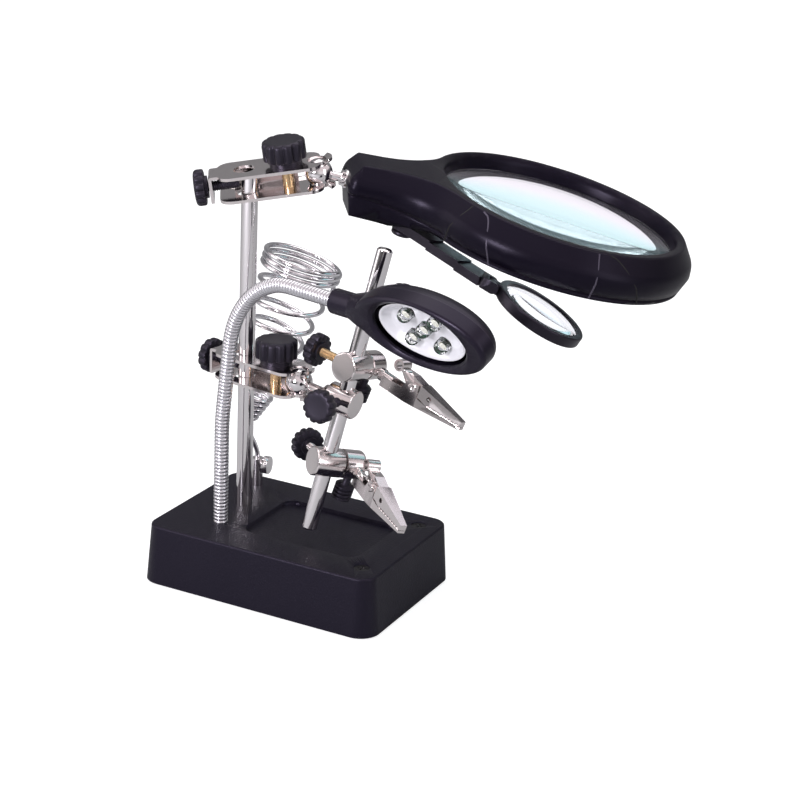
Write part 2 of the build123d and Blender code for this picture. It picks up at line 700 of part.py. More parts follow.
def head_profile(inset):
    """Return the side view of the magnifier, extruded across the head."""
    side = Plane.XZ * Polygon(
        (HANDLE_END - 5, HANDLE_BOTTOM + inset), (-62, HANDLE_BOTTOM + inset),
        (-48, RING_BOTTOM + inset), (RING_OUTER + 5, RING_BOTTOM + inset),
        (RING_OUTER + 5, RING_TOP - inset), (-50, RING_TOP - inset),
        (HANDLE_END, HANDLE_TOP - inset), (HANDLE_END - 5, HANDLE_TOP - inset), align=None,
    )
    return extrude(side, 70, both=True)


def head_solid(inset):
    """Return the outside of the magnifier, or its inside for a positive inset."""
    plan = head_outline(inset)
    wall = extrude(plan, SHOULDER_Z, taper=WALL_DRAFT)
    shoulder = extrude(wall.faces().sort_by(Axis.Z)[-1], RING_TOP - SHOULDER_Z, taper=SHOULDER_DRAFT)
    lower = mirror(extrude(plan, -HANDLE_BOTTOM, taper=LOWER_DRAFT), Plane.XY)
    return (wall + shoulder + lower) & head_profile(inset)


def head_outer():
    """Return the rounded outside of the magnifier."""
    body = head_solid(0)
    body = fillet([edge for edge in body.edges() if lies_at(edge, SHOULDER_Z)], SHOULDER_ROUND)
    rim = [edge for edge in body.edges() if lies_at(edge, RING_TOP) and edge.center().X > -40]
    return fillet(rim, RIM_ROUND)


def lies_at(edge, height):
    """Return whether an edge lies level at a height."""
    return edge.bounding_box().size.Z < 0.01 and abs(edge.center().Z - height) < 0.01


SEAM_LOW = RING_BOTTOM + HEAD_SHELL


def below_seam():
    """Return the space under the seam between the two shells of the magnifier."""
    seam = Plane.XZ * Polygon(
        (HANDLE_END - 10, -2.0), (HANDLE_END, -2.0), (-44, SEAM_LOW), (RING_OUTER + 10, SEAM_LOW),
        (RING_OUTER + 10, -30), (HANDLE_END - 10, -30), align=None,
    )
    return extrude(seam, 70, both=True)


def collar_bore():
    """Return the hole in the end of the handle that takes the stem."""
    return Pos(HANDLE_END - 1, 0, 0) * Rot(0, 90, 0) * Cylinder(
        STEM_TAIL, 12, align=(Align.CENTER, Align.CENTER, Align.MIN)
    )


def head_upper_shell():
    """Return the upper half of the magnifier: ring wall, top lip and handle roof."""
    shell = head_outer() - head_solid(HEAD_SHELL)
    wall = disc(RING_OPENING + 3.2, SEAM_LOW, RING_TOP - 0.5)
    shell += wall
    shell -= below_seam()
    bevel = Pos(0, 0, LENS_SEAT + LENS_EDGE + 0.6) * Cone(
        RING_OPENING, RING_OPENING + 1.0, RING_TOP - LENS_SEAT - LENS_EDGE,
        align=(Align.CENTER, Align.CENTER, Align.MIN),
    )
    shell -= bevel
    shell -= disc(MAIN_LENS_DIAMETER / 2 + 0.1, -20, LENS_SEAT + LENS_EDGE + 0.05) + main_lens()
    shell -= disc(RING_OPENING, -20, RING_TOP + 5)
    return shell - collar_bore()


def head_lower_shell():
    """Return the lower half of the magnifier, with the lens ledge and the arm's boss."""
    shell = (head_outer() - head_solid(HEAD_SHELL)) & below_seam()
    shell += disc(MAIN_LENS_DIAMETER / 2, SEAM_LOW - 0.5, LENS_SEAT - 0.02)
    shell += disc(4.2, ARM_TOP + 0.1, -6.0, PIVOT_X, PIVOT_Y)
    shell -= disc(RING_OPENING, -20, RING_TOP)
    shell -= main_lens()
    shell -= disc(1.5 + FIT, -12, -6.2, PIVOT_X, PIVOT_Y)
    shell -= disc(4.6, -20, ARM_TOP + 0.1, PIVOT_X, PIVOT_Y)
    for x, y in head_screw_places():
        shell -= disc(2.1, -20, RING_BOTTOM + 1.0, x, y)
    return shell - collar_bore()


def main_lens():
    """Return the large lens on its seat."""
    return Pos(0, 0, LENS_SEAT) * biconvex(MAIN_LENS_DIAMETER, LENS_EDGE, LENS_RADIUS)


def head_screw_places():
    """Return the places of the screws under the ring."""
    reach = RING_OPENING + 3.4
    return [(reach * math.cos(math.radians(t)), reach * math.sin(math.radians(t))) for t in (-60, 60, 0)]


def head_screws():
    """Return the three small screws in the underside of the ring."""
    screws = Part()
    for x, y in head_screw_places():
        screws += disc(2.0, RING_BOTTOM + 0.2, RING_BOTTOM + 1.0, x, y)
    return screws


def biconvex(diameter, edge, curvature):
    """Return a biconvex lens with a straight rim, its rim standing on Z = 0."""
    half = diameter / 2
    sag = curvature - math.sqrt(curvature ** 2 - half ** 2)
    drum = disc(half, -sag, edge + sag)
    drum &= Pos(0, 0, curvature - sag) * Sphere(curvature)
    drum &= Pos(0, 0, edge + sag - curvature) * Sphere(curvature)
    return drum


def head_stem():
    """Return the chrome stem from the ball to the handle, in the head's frame."""
    gap = HEAD_REACH + HANDLE_END
    stem = turned_stem([
        (gap - 1.4, STEM_WAIST), (gap - 1.4, STEM_COLLAR), (gap - 0.1, STEM_COLLAR),
        (gap - 0.1, STEM_TAIL), (gap + 10.0, STEM_TAIL),
    ])
    return Pos(-HEAD_REACH, 0, 0) * stem


# ---------------------------------------------------------------- small lens and its arm
ARM_TOP = -9.4
ARM_THICK = 3.2
ARM_HALF = 3.6
KNUCKLE = Vector(-28.4, -42.6, -12.1)
SMALL_RING_HEADING = (0.949, -0.170, -0.267)
SMALL_RING_OUTER = SMALL_LENS_DIAMETER / 2 + 1.6
SMALL_RING_HEIGHT = 4.0
SMALL_REACH = SMALL_RING_OUTER + 2.4
KNUCKLE_RADIUS = 2.0


def small_ring_frame():
    """Return the place of the small lens: X from the knuckle to its centre, Z its optical axis."""
    along = Vector(*SMALL_RING_HEADING).normalized()
    level = Vector(0, 0, 1).cross(along).normalized()
    return frame(KNUCKLE, along, along.cross(level))


def lens_arm():
    """Return the stepped arm from the pivot boss to the knuckle."""
    pivot = Vector(PIVOT_X, PIVOT_Y, 0)
    run = Vector(KNUCKLE.X, KNUCKLE.Y, 0) - pivot
    reach = run.length
    bar = disc(4.1, ARM_TOP - ARM_THICK, ARM_TOP)
    thirds = (reach * 0.36, reach * 0.68, reach - 3.6)
    start = 0.0
    for step, end in enumerate(thirds):
        low = ARM_TOP - ARM_THICK - 0.6 * step
        bar += block(start, end, -ARM_HALF, ARM_HALF, low, low + ARM_THICK)
        start = end - 0.8
    bar -= disc(1.5 + FIT, -20, 0)
    turn = math.degrees(math.atan2(run.Y, run.X))
    arm = Pos(pivot.X, pivot.Y, 0) * Rot(0, 0, turn) * bar
    ears = small_ring_frame() * small_knuckle(ears=True)
    return arm + ears


def small_knuckle(ears):
    """Return the forked ears with their pin, or the single eye between them, in the ring's frame."""
    across = 7.0
    eye = Rot(90, 0, 0) * Cylinder(KNUCKLE_RADIUS, across)
    gap = 3.2
    if ears:
        web = block(-4.2, 0, -across / 2, across / 2, -KNUCKLE_RADIUS, KNUCKLE_RADIUS)
        fork = eye + web
        fork -= block(-KNUCKLE_RADIUS - 0.4, 5, -gap / 2, gap / 2, -5, 5)
        return fork + Rot(90, 0, 0) * Cylinder(0.8, gap + 0.4)
    tongue = Rot(90, 0, 0) * Cylinder(KNUCKLE_RADIUS, gap - 0.3)
    tongue += block(0, 3.4, -gap / 2 + 0.15, gap / 2 - 0.15, -KNUCKLE_RADIUS, KNUCKLE_RADIUS)
    return tongue - Rot(90, 0, 0) * Cylinder(0.8 + FIT, across)


def arm_knob():
    """Return the round pivot screw under the arm."""
    bottom = ARM_TOP - ARM_THICK - 0.05
    knob = fillet(disc(3.9, bottom - 2.2, bottom, PIVOT_X, PIVOT_Y).edges().sort_by(Axis.Z)[0], 0.8)
    return knob + disc(1.5, bottom - 0.5, -6.4, PIVOT_X, PIVOT_Y)


def small_ring():
    """Return the frame of the small lens, with its eye on the knuckle pin."""
    half = SMALL_RING_HEIGHT / 2
    ring = disc(SMALL_RING_OUTER, -half, half)
    ring = fillet(ring.edges(), 0.7)
    ring -= disc(SMALL_LENS_DIAMETER / 2 - 0.8, -10, 10)
    ring = Pos(SMALL_REACH, 0, 0) * ring - small_lens()
    return ring + small_knuckle(ears=False)


def small_lens():
    """Return the small biconvex lens in its groove."""
    edge = SMALL_RING_HEIGHT - 2.0
    return Pos(SMALL_REACH, 0, -edge / 2) * biconvex(SMALL_LENS_DIAMETER, edge, 60.0)


# ---------------------------------------------------------------- cross rod and its clamp
BARREL_RADIUS = 5.3
BARREL_END = 6.0            # rod axis to the plain end of the barrel
ROD_CLAMP_REACH = 19.2      # ball centre to rod axis
CLAMP_KNOB_RADIUS = 6.1
CLAMP_KNOB_HEIGHT = 4.2
CLAMP_KNOB_REACH = 14.4     # rod axis to the near face of the knob
CLAMP_SCREW_RADIUS = 1.7


def clamp_bores():
    """Return the bores of a barrel clamp: the rod's along Z and the thumbscrew's along -Y."""
    rod = Cylinder(ROD_DIAMETER / 2 + FIT, 30)
    screw = Rot(90, 0, 0) * Cylinder(
        CLAMP_SCREW_RADIUS + FIT, 20, align=(Align.CENTER, Align.CENTER, Align.MIN)
    )
    return rod + screw


def rod_clamp():
    """Return the barrel on its stem, which grips the cross rod, ball centre at the origin."""
    start, end = ROD_CLAMP_REACH - 5.5, ROD_CLAMP_REACH + BARREL_END - 0.8
    turned = turned_stem([
        (start - 2.4, STEM_WAIST), (start - 2.4, 3.2), (start, 3.2), (start, BARREL_RADIUS),
        (end - 0.4, BARREL_RADIUS), (end, BARREL_RADIUS - 0.4),
    ])
    return turned - Pos(ROD_CLAMP_REACH, 0, 0) * clamp_bores()


def clamp_screw(full):
    """Return the screw of a barrel clamp along -Y, with its knob when full."""
    start = ROD_DIAMETER / 2 + FIT
    length = CLAMP_KNOB_REACH + (1.5 if full else 2.6) - start
    shank = Rot(90, 0, 0) * disc(CLAMP_SCREW_RADIUS, start, start + length)
    if not full:
        return shank
    return shank + clamp_knob(bored=False)


def clamp_knob(bored=True):
    """Return the fluted knob of a barrel clamp, set on its screw along -Y."""
    knob = fluted_knob(CLAMP_KNOB_RADIUS, CLAMP_KNOB_HEIGHT, 3.4, 0.8, CLAMP_SCREW_RADIUS, 0.1)
    if bored:
        knob -= disc(CLAMP_SCREW_RADIUS, -1, 2.6)
    return Pos(0, -CLAMP_KNOB_REACH, 0) * Rot(90, 0, 0) * knob


def cross_rod():
    """Return the chrome rod with its chamfered ends, rod axis on Z."""
    bar = disc(ROD_DIAMETER / 2, -ROD_LOW, ROD_LENGTH - ROD_LOW)
    return chamfer(bar.edges().filter_by(GeomType.CIRCLE), 0.7)


ROD_LOW = 49.6              # rod clamp to the lower end


# ---------------------------------------------------------------- swivel clamps and clips
NECK_START = 5.0
HEAD_START = 6.0
SWIVEL_HEAD_LENGTH = 8.0
CLIP_OFFSET = 0.6           # the stem bore clears the spigot
SWIVEL_MIDDLE = HEAD_START + SWIVEL_HEAD_LENGTH / 2
SPIGOT_RADIUS = 2.8
SPIGOT_DEPTH = 2.0
CLIP_STEM_RADIUS = 1.8


def swivel_barrel():
    """Return the barrel on the rod, plain end towards -X and the spigot for the head towards +X."""
    profile = Polygon(
        (-BARREL_END, 0), (-BARREL_END, BARREL_RADIUS - 0.4), (-BARREL_END + 0.4, BARREL_RADIUS),
        (NECK_START, BARREL_RADIUS), (NECK_START, SPIGOT_RADIUS),
        (HEAD_START + SPIGOT_DEPTH - 0.2, SPIGOT_RADIUS), (HEAD_START + SPIGOT_DEPTH - 0.2, 0),
        align=None,
    )
    return revolve(profile, Axis.X) - Rot(180, 0, 0) * clamp_bores()


def swivel_head():
    """Return the turning head on the end of the barrel, which holds the clip's stem along -Y."""
    head = Pos(HEAD_START, 0, 0) * Rot(0, 90, 0) * Cylinder(
        BARREL_RADIUS, SWIVEL_HEAD_LENGTH, align=(Align.CENTER, Align.CENTER, Align.MIN)
    )
    head = fillet(head.edges().filter_by(GeomType.CIRCLE).sort_by(Axis.X)[-1], 1.4)
    head -= Pos(HEAD_START, 0, 0) * Rot(0, 90, 0) * Cylinder(SPIGOT_RADIUS + FIT, 2 * SPIGOT_DEPTH)
    stem_bore = Pos(SWIVEL_MIDDLE + CLIP_OFFSET, 0, 0) * Rot(90, 0, 0) * Cylinder(CLIP_STEM_RADIUS + FIT, 20)
    screw_bore = Pos(SWIVEL_MIDDLE + CLIP_OFFSET, 0, 0) * Rot(180, 0, 0) * Cylinder(
        HEAD_SCREW_RADIUS + FIT, 20, align=(Align.CENTER, Align.CENTER, Align.MIN)
    )
    return head - stem_bore - screw_bore


HEAD_SCREW_RADIUS = 1.5
HEAD_KNOB_RADIUS = 3.6
HEAD_KNOB_STEPS = 4


def head_screw():
    """Return the small ringed thumbscrew that pinches the clip's stem, along -Z."""
    shank = disc(HEAD_SCREW_RADIUS, -10.0, -CLIP_STEM_RADIUS - FIT)
    knob = disc(HEAD_KNOB_RADIUS - 0.7, -13.8, -8.0)
    for step in range(HEAD_KNOB_STEPS):
        top = -8.6 - step * 1.45
        knob += disc(HEAD_KNOB_RADIUS, top - 0.85, top)
    return Pos(SWIVEL_MIDDLE + CLIP_OFFSET, 0, 0) * (shank + knob)


# clip frame: X along the closed jaws from the swivel's stem axis, Z towards the thumb lever
JAW_START = 8.0
JAW_TIP = JAW_START + CLIP_LENGTH
JAW_HALF = 2.9
JAW_TIP_HALF = 1.3
JAW_SHEET = 0.7
RIVET_X = JAW_START + 13.0
JAW_SHOULDER = RIVET_X + 3.6
RIVET_Z = 2.6
TOOTH_PITCH = 1.6
TOOTH_HEIGHT = 0.7
TOOTH_COUNT = 9


def jaw_plan(grow):
    """Return the tapering plan of a jaw, as a tall solid to cut the side view with."""
    outline = Polygon(
        (-20, -JAW_HALF - grow), (JAW_SHOULDER, -JAW_HALF - grow), (JAW_TIP, -JAW_TIP_HALF - grow),
        (JAW_TIP, JAW_TIP_HALF + grow), (JAW_SHOULDER, JAW_HALF + grow), (-20, JAW_HALF + grow),
        align=None,
    )
    return extrude(outline, 40, both=True)


def side_solid(points):
    """Return a side view extruded across the clip."""
    return extrude(Plane.XZ * Polygon(*points, align=None), 12, both=True)


def tooth_row(level, way):
    """Return the points of one toothed edge from the tip backwards."""
    points = []
    for index in range(TOOTH_COUNT):
        tip = JAW_TIP - 0.6 - index * TOOTH_PITCH
        points.append((tip, level))
        points.append((tip - TOOTH_PITCH / 2, level + way * TOOTH_HEIGHT))
    points.append((JAW_TIP - 0.6 - TOOTH_COUNT * TOOTH_PITCH, level))
    return points


def clip_jaw():
    """Return the fixed jaw: a folded channel on its stem, open towards the lever."""
    low = -3.6
    outer = [(JAW_START, low), (JAW_START + 12, low), (JAW_TIP, -1.6), (JAW_TIP, -0.7)]
    outer += tooth_row(-0.7, 1)
    outer += [(RIVET_X + 3.2, 0.2), (RIVET_X + 2.4, RIVET_Z + 2.0), (RIVET_X - 2.4, RIVET_Z + 2.0)]
    outer += [(RIVET_X - 4.2, 0.4), (JAW_START, 0.4)]
    body = side_solid(outer) & jaw_plan(0)
    core = [(JAW_START - 1, low + JAW_SHEET), (JAW_START + 12, low + JAW_SHEET), (JAW_TIP - 0.8, -1.0)]
    core += [(JAW_TIP - 0.8, 9), (JAW_START - 1, 9)]
    body -= side_solid(core) & jaw_plan(-JAW_SHEET)
    sleeve = Pos(JAW_START - 2.3, 0, -0.8) * Rot(0, 90, 0) * Cylinder(
        2.2, 5.8, align=(Align.CENTER, Align.CENTER, Align.MIN)
    )
    stem = Pos(-6.0, 0, 0) * Rot(0, 90, 0) * Cylinder(
        CLIP_STEM_RADIUS, JAW_START + 5, align=(Align.CENTER, Align.CENTER, Align.MIN)
    )
    body += sleeve + stem
    return body - rivet_bore()


def rivet_bore():
    """Return the hole for the rivet through both jaws."""
    return Pos(RIVET_X, 0, RIVET_Z) * Rot(90, 0, 0) * Cylinder(0.9 + FIT, 20)


def lever_plan(inset):
    """Return the plan of the lever, which is narrower where it passes between the jaw's ears."""
    half = JAW_HALF - JAW_SHEET - 0.15 - inset
    rear = block(-30, RIVET_X + 3.4 + inset, -half, half, -9, 20)
    front = block(RIVET_X + 3.4 + inset, 90, -9, 9, -9, 20)
    return jaw_plan(-inset) & (rear + front)


def clip_lever():
    """Return the sprung jaw with its raised thumb pad."""
    edge = [(JAW_TIP, 1.5), (JAW_TIP, -0.5)]
    edge += tooth_row(-0.5, 1)
    top = [(RIVET_X + 5.0, 0.4), (RIVET_X + 1.9, 0.6), (RIVET_X - 1.9, 1.0)]
    top += [(RIVET_X - 7.0, 5.6), (RIVET_X - 7.4, 6.4), (RIVET_X - 1.5, 6.4), (RIVET_X + 3.0, 5.2)]
    body = side_solid(edge + top) & lever_plan(0)
    hollow = [(JAW_TIP - 1.0, 0.8), (JAW_TIP - 1.0, -9), (RIVET_X - 9.0, -9), (RIVET_X - 9.0, 5.0)]
    hollow += [(RIVET_X - 6.6, 5.7), (RIVET_X - 1.5, 5.7), (RIVET_X + 3.0, 4.5)]
    body -= side_solid(hollow) & lever_plan(JAW_SHEET)
    pad = Pos(RIVET_X - 8.6, 0, 6.8) * Rot(90, 0, 0) * Cylinder(2.2, 5.0)
    pad -= Pos(RIVET_X - 8.6, 0, 6.8) * Rot(90, 0, 0) * Cylinder(1.5, 20)
    window = Pos(RIVET_X + 8.0, 0, 2.2) * Rot(90, 0, 0) * Cylinder(0.9, 20)
    return body + pad - rivet_bore() - window


def clip_rivet():
    """Return the rivet that the lever turns on."""
    pin = Rot(90, 0, 0) * Cylinder(0.9, 2 * JAW_HALF + 0.1)
    heads = Rot(90, 0, 0) * Cylinder(1.5, 2 * JAW_HALF + 1.0)
    heads -= Rot(90, 0, 0) * Cylinder(3, 2 * JAW_HALF + 0.02)
    return Pos(RIVET_X, 0, RIVET_Z) * (pin + heads)


def clip_spring():
    """Return the small torsion spring round the rivet."""
    coil = Rot(90, 0, 0) * (Cylinder(1.55, 1.8) - Cylinder(1.1, 4))
    leg = rod_between((-1.2, 0.4, 0.3), (-4.4, 0.4, 0.6), 0.3)
    foot = rod_between((-1.2, -0.4, -0.5), (-6.4, -0.4, -5.2), 0.3)
    return Pos(RIVET_X, 0, RIVET_Z) * (coil + leg + foot)


# ---------------------------------------------------------------- assembly
def lower_bracket_frame():
    """Return the place of the lower bracket, level on the post."""
    return axis_frame(LOWER_BRACKET_TURN, 0, 0, (POST_X, POST_Y, LOWER_BRACKET_Z))


def upper_bracket_frame():
    """Return the place of the upper bracket, askew with its lower plate's hole on the post."""
    tilted = axis_frame(UPPER_BRACKET_TURN, UPPER_BRACKET_RISE, UPPER_BRACKET_ROLL, (POST_X, POST_Y, UPPER_BRACKET_Z))
    return tilted * Pos(0, 0, PLATE_GAP / 2 + PLATE / 2)


def point_of(place, x=0.0, y=0.0, z=0.0):
    """Return where a local point of a place stands in the base's frame."""
    return (place * Pos(x, y, z)).position


def head_frame():
    """Return the place of the magnifier, its lens centre at the origin of the frame."""
    centre = point_of(upper_bracket_frame(), BRACKET_REACH) + heading(HEAD_TURN, HEAD_DIP) * HEAD_REACH
    return axis_frame(HEAD_TURN, HEAD_DIP, HEAD_ROLL, centre)


def rod_clamp_frame():
    """Return the place of the rod clamp: X along its stem from the ball centre, Z along the rod."""
    centre = point_of(lower_bracket_frame(), BRACKET_REACH)
    return axis_frame(STEM_TURN, STEM_DIP, -ROD_ROLL, centre)


def rod_frame():
    """Return the place of the cross rod, its origin in the rod clamp."""
    return rod_clamp_frame() * Pos(ROD_CLAMP_REACH, 0, 0)


SWIVELS = {
    "a": (13.0, 81.6),      # height along the rod and turn of the barrel round it
    "b": (-23.6, 56.3),
}


def swivel_frame(name):
    """Return the place of a swivel clamp: X along its barrel, Z along the rod."""
    height, turn = SWIVELS[name]
    return rod_frame() * Pos(0, 0, height) * Rot(0, 0, turn)


def clip_frame(name):
    """Return the place of a clip: X along its jaws, from the axis of the swivel head."""
    head = swivel_frame(name) * Rot(CLIP_TURN, 0, 0) * Pos(SWIVEL_MIDDLE + CLIP_OFFSET, 0, 0)
    return head * Rot(0, 0, -90)


def build_base():
    """Write the base and everything fixed to it."""
    save("base_shell", base_shell())
    save("base_cover", base_cover())
    save("base_screws", base_screws())
    save("rubber_feet", rubber_feet())
    save("battery_door", battery_door())
    save("battery_cells", battery_cells())
    save("battery_contacts", battery_contacts())
    save("post", post())
    save("post_nut", post_nut())
    save("holder_socket", holder_socket())
    save("holder_screw", holder_screw(), socket_screw_place())
    save("iron_holder", iron_holder())


def build_lamp():
    """Write the gooseneck and the lamp head."""
    upper, level = gooseneck_upper()
    plane = neck_frame()
    save("gooseneck_lower", gooseneck_lower(), plane)
    save("gooseneck_upper", upper, plane)
    head = plane * Pos(NECK_END, 0, level) * Rot(LAMP_ROLL, 0, 0) * Pos(LAMP_MIDDLE, 0, -NECK_LEVEL)
    pieces = {
        "lamp_front_shell": lamp_front_shell(),
        "lamp_back_shell": lamp_back_shell(),
        "lamp_reflector": lamp_reflector(),
        "lamp_leds": lamp_leds(),
        "lamp_board": lamp_board(),
        "lamp_button": lamp_button(),
    }
    for node, shape in pieces.items():
        save(node, shape, head)


def build_brackets():
    """Write the two ball brackets, which are one design."""
    places = {"upper": upper_bracket_frame(), "lower": lower_bracket_frame()}
    for name, place in places.items():
        save(f"{name}_channel", bracket_channel(), place)
        save(f"{name}_post_screw", post_screw(), place)
        save(f"{name}_ball_bolt", ball_bolt(), place)
        save(f"{name}_ball_knob", ball_knob(), place)
        save(f"{name}_ball", ball(), place * Pos(BRACKET_REACH, 0, 0))


def build_head():
    """Write the magnifier with its stem, lenses and the small lens on its arm."""
    place = head_frame()
    save("head_stem", head_stem(), place)
    save("head_upper_shell", head_upper_shell(), place)
    save("head_lower_shell", head_lower_shell(), place)
    save("head_screws", head_screws(), place)
    save("main_lens", main_lens(), place)
    save("lens_arm", lens_arm(), place)
    save("arm_knob", arm_knob(), place)
    small = place * small_ring_frame()
    save("small_ring", small_ring(), small)
    save("small_lens", small_lens(), small)


def build_arm():
    """Write the cross rod, its clamp, and the two swivel clamps with their clips."""
    clamp = rod_clamp_frame()
    save("rod_clamp", rod_clamp(), clamp)
    save("rod_clamp_screw", clamp_screw(full=True), rod_frame())
    save("cross_rod", cross_rod(), rod_frame())
    for name in SWIVELS:
        place = swivel_frame(name)
        save(f"swivel_{name}_barrel", swivel_barrel(), place)
        save(f"swivel_{name}_screw", clamp_screw(full=False), place * Rot(0, 0, 180))
        save(f"swivel_{name}_knob", clamp_knob(), place * Rot(0, 0, 180))
        save(f"swivel_{name}_head", swivel_head(), place * Rot(CLIP_TURN, 0, 0))
        save(f"swivel_{name}_head_screw", head_screw(), place * Rot(CLIP_TURN, 0, 0))
        clip = clip_frame(name)
        save(f"clip_{name}_jaw", clip_jaw(), clip)
        save(f"clip_{name}_lever", clip_lever(), clip)
        save(f"clip_{name}_rivet", clip_rivet(), clip)
        save(f"clip_{name}_spring", clip_spring(), clip)


build_base()
build_lamp()
build_brackets()
build_head()
build_arm()
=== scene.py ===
"""Looks of a helping hands bench stand: finishes, fine surfaces, light and camera.

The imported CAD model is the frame. Every sub-assembly below dresses its own nodes, either with a merged and
smoothed copy of the CAD mesh or with a new surface worked out from a formula. Lengths are millimetres in the
classes of the stand, and metres in the meshes, the finishes and the studio.
"""

from __future__ import annotations

import json
import logging
import math
from dataclasses import dataclass
from enum import Enum
from typing import Callable

import bmesh
import bpy
import numpy as np
from mathutils import Matrix, Vector

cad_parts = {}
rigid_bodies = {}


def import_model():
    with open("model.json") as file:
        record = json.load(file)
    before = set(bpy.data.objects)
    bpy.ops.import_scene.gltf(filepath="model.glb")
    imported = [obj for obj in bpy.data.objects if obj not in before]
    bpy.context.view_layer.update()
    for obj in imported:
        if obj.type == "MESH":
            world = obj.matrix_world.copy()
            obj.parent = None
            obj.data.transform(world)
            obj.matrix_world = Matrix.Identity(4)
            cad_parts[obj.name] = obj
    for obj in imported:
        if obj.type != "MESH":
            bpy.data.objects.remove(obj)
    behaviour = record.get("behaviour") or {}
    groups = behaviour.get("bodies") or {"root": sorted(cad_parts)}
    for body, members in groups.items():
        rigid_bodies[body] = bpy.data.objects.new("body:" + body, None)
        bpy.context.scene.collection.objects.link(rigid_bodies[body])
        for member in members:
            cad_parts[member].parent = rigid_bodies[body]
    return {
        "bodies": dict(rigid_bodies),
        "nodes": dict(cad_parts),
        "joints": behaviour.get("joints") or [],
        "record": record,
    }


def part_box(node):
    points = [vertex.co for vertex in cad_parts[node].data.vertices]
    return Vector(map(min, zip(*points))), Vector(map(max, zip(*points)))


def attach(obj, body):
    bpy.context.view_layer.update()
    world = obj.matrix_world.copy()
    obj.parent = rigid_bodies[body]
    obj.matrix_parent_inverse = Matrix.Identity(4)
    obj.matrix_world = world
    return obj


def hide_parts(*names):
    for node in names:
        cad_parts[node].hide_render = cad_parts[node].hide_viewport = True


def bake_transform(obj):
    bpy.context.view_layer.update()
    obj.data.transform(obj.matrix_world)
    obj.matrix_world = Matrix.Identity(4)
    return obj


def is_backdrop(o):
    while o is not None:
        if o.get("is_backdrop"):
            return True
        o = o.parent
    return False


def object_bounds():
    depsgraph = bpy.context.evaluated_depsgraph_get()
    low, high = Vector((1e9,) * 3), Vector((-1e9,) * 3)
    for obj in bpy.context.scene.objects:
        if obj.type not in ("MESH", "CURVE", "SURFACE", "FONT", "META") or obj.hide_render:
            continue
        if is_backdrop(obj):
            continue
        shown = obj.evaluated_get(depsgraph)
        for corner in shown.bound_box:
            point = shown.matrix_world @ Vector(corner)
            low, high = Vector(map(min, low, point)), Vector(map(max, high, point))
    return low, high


log = logging.getLogger("helping_hands")

MM = 0.001
X_AXIS, Y_AXIS, UP = np.eye(3)
Array = np.ndarray
Triple = tuple[float, float, float]


# ---------------------------------------------------------------- shader nodes
class Web:
    """Adds nodes and links to one shader tree."""

    def __init__(self, tree: bpy.types.NodeTree) -> None:
        """Keep the tree."""
        self.tree = tree

    def feed(self, socket: bpy.types.NodeSocket, value: object) -> None:
        """Drive an input.

        Args:
            socket: the input.
            value: another node's output, a number, a vector or a colour.
        """
        if isinstance(value, bpy.types.NodeSocket):
            self.tree.links.new(value, socket)
        else:
            socket.default_value = (*value, 1.0) if socket.type == "RGBA" else value

    def node(
        self, kind: str, inputs: dict[str | int, object] | None = None, **settings: object
    ) -> bpy.types.Node:
        """Add a node, set its properties and feed its inputs.

        Args:
            kind: the node's type name after "ShaderNode".
            inputs: what feeds each named or numbered input.
            settings: properties to set on it.

        Returns:
            The new node.
        """
        made = self.tree.nodes.new(f"ShaderNode{kind}")
        for key, value in settings.items():
            setattr(made, key, value)
        for label, value in (inputs or {}).items():
            self.feed(made.inputs[label], value)
        return made

    def math(self, operation: str, *terms: object) -> bpy.types.NodeSocket:
        """Add a Math node whose terms are sockets or numbers, and return its result."""
        return self.node("Math", dict(enumerate(terms)), operation=operation).outputs[0]

    def dot(self, first: object, second: object) -> bpy.types.NodeSocket:
        """Add the dot product of two vectors, and return its value."""
        return self.node("VectorMath", {0: first, 1: second}, operation="DOT_PRODUCT").outputs["Value"]

    def eased(self, value: object, low: float, high: float) -> bpy.types.NodeSocket:
        """Add a smooth rise from 0 where a value is low to 1 where it is high, and return its result."""
        ends = {"Value": value, "From Min": low, "From Max": high}
        return self.node("MapRange", ends, interpolation_type="SMOOTHSTEP").outputs["Result"]

    def mixed(self, share: object, first: object, second: object) -> bpy.types.NodeSocket:
        """Blend two colours.

        Args:
            share: the share of the second colour.
            first: the colour where the share is 0.
            second: the colour where the share is 1.

        Returns:
            The socket with the blended colour.
        """
        made = self.node("Mix", {"Factor": share}, data_type="RGBA")
        ends = [socket for socket in made.inputs if socket.type == "RGBA"]
        for socket, value in zip(ends, (first, second)):
            self.feed(socket, value)
        return next(socket for socket in made.outputs if socket.type == "RGBA")

    def noise(self, scale: object, detail: float, roughness: float = 0.5) -> bpy.types.NodeSocket:
        """Add noise over the piece's own coordinates.

        Args:
            scale: cells per metre.
            detail: how many finer layers it has.
            roughness: how strong the finer layers are.

        Returns:
            The socket with its value.
        """
        coords = self.node("TexCoord").outputs["Object"]
        inputs = {"Vector": coords, "Scale": scale, "Detail": detail, "Roughness": roughness}
        return self.node("TexNoise", inputs).outputs["Fac"]

    def in_view(self) -> bpy.types.NodeSocket:
        """Return 1 for what the camera sees, straight or through glass, and 0 for other rays."""
        rays = self.node("LightPath").outputs
        return self.math("MAXIMUM", rays["Is Camera Ray"], rays["Is Transmission Ray"])


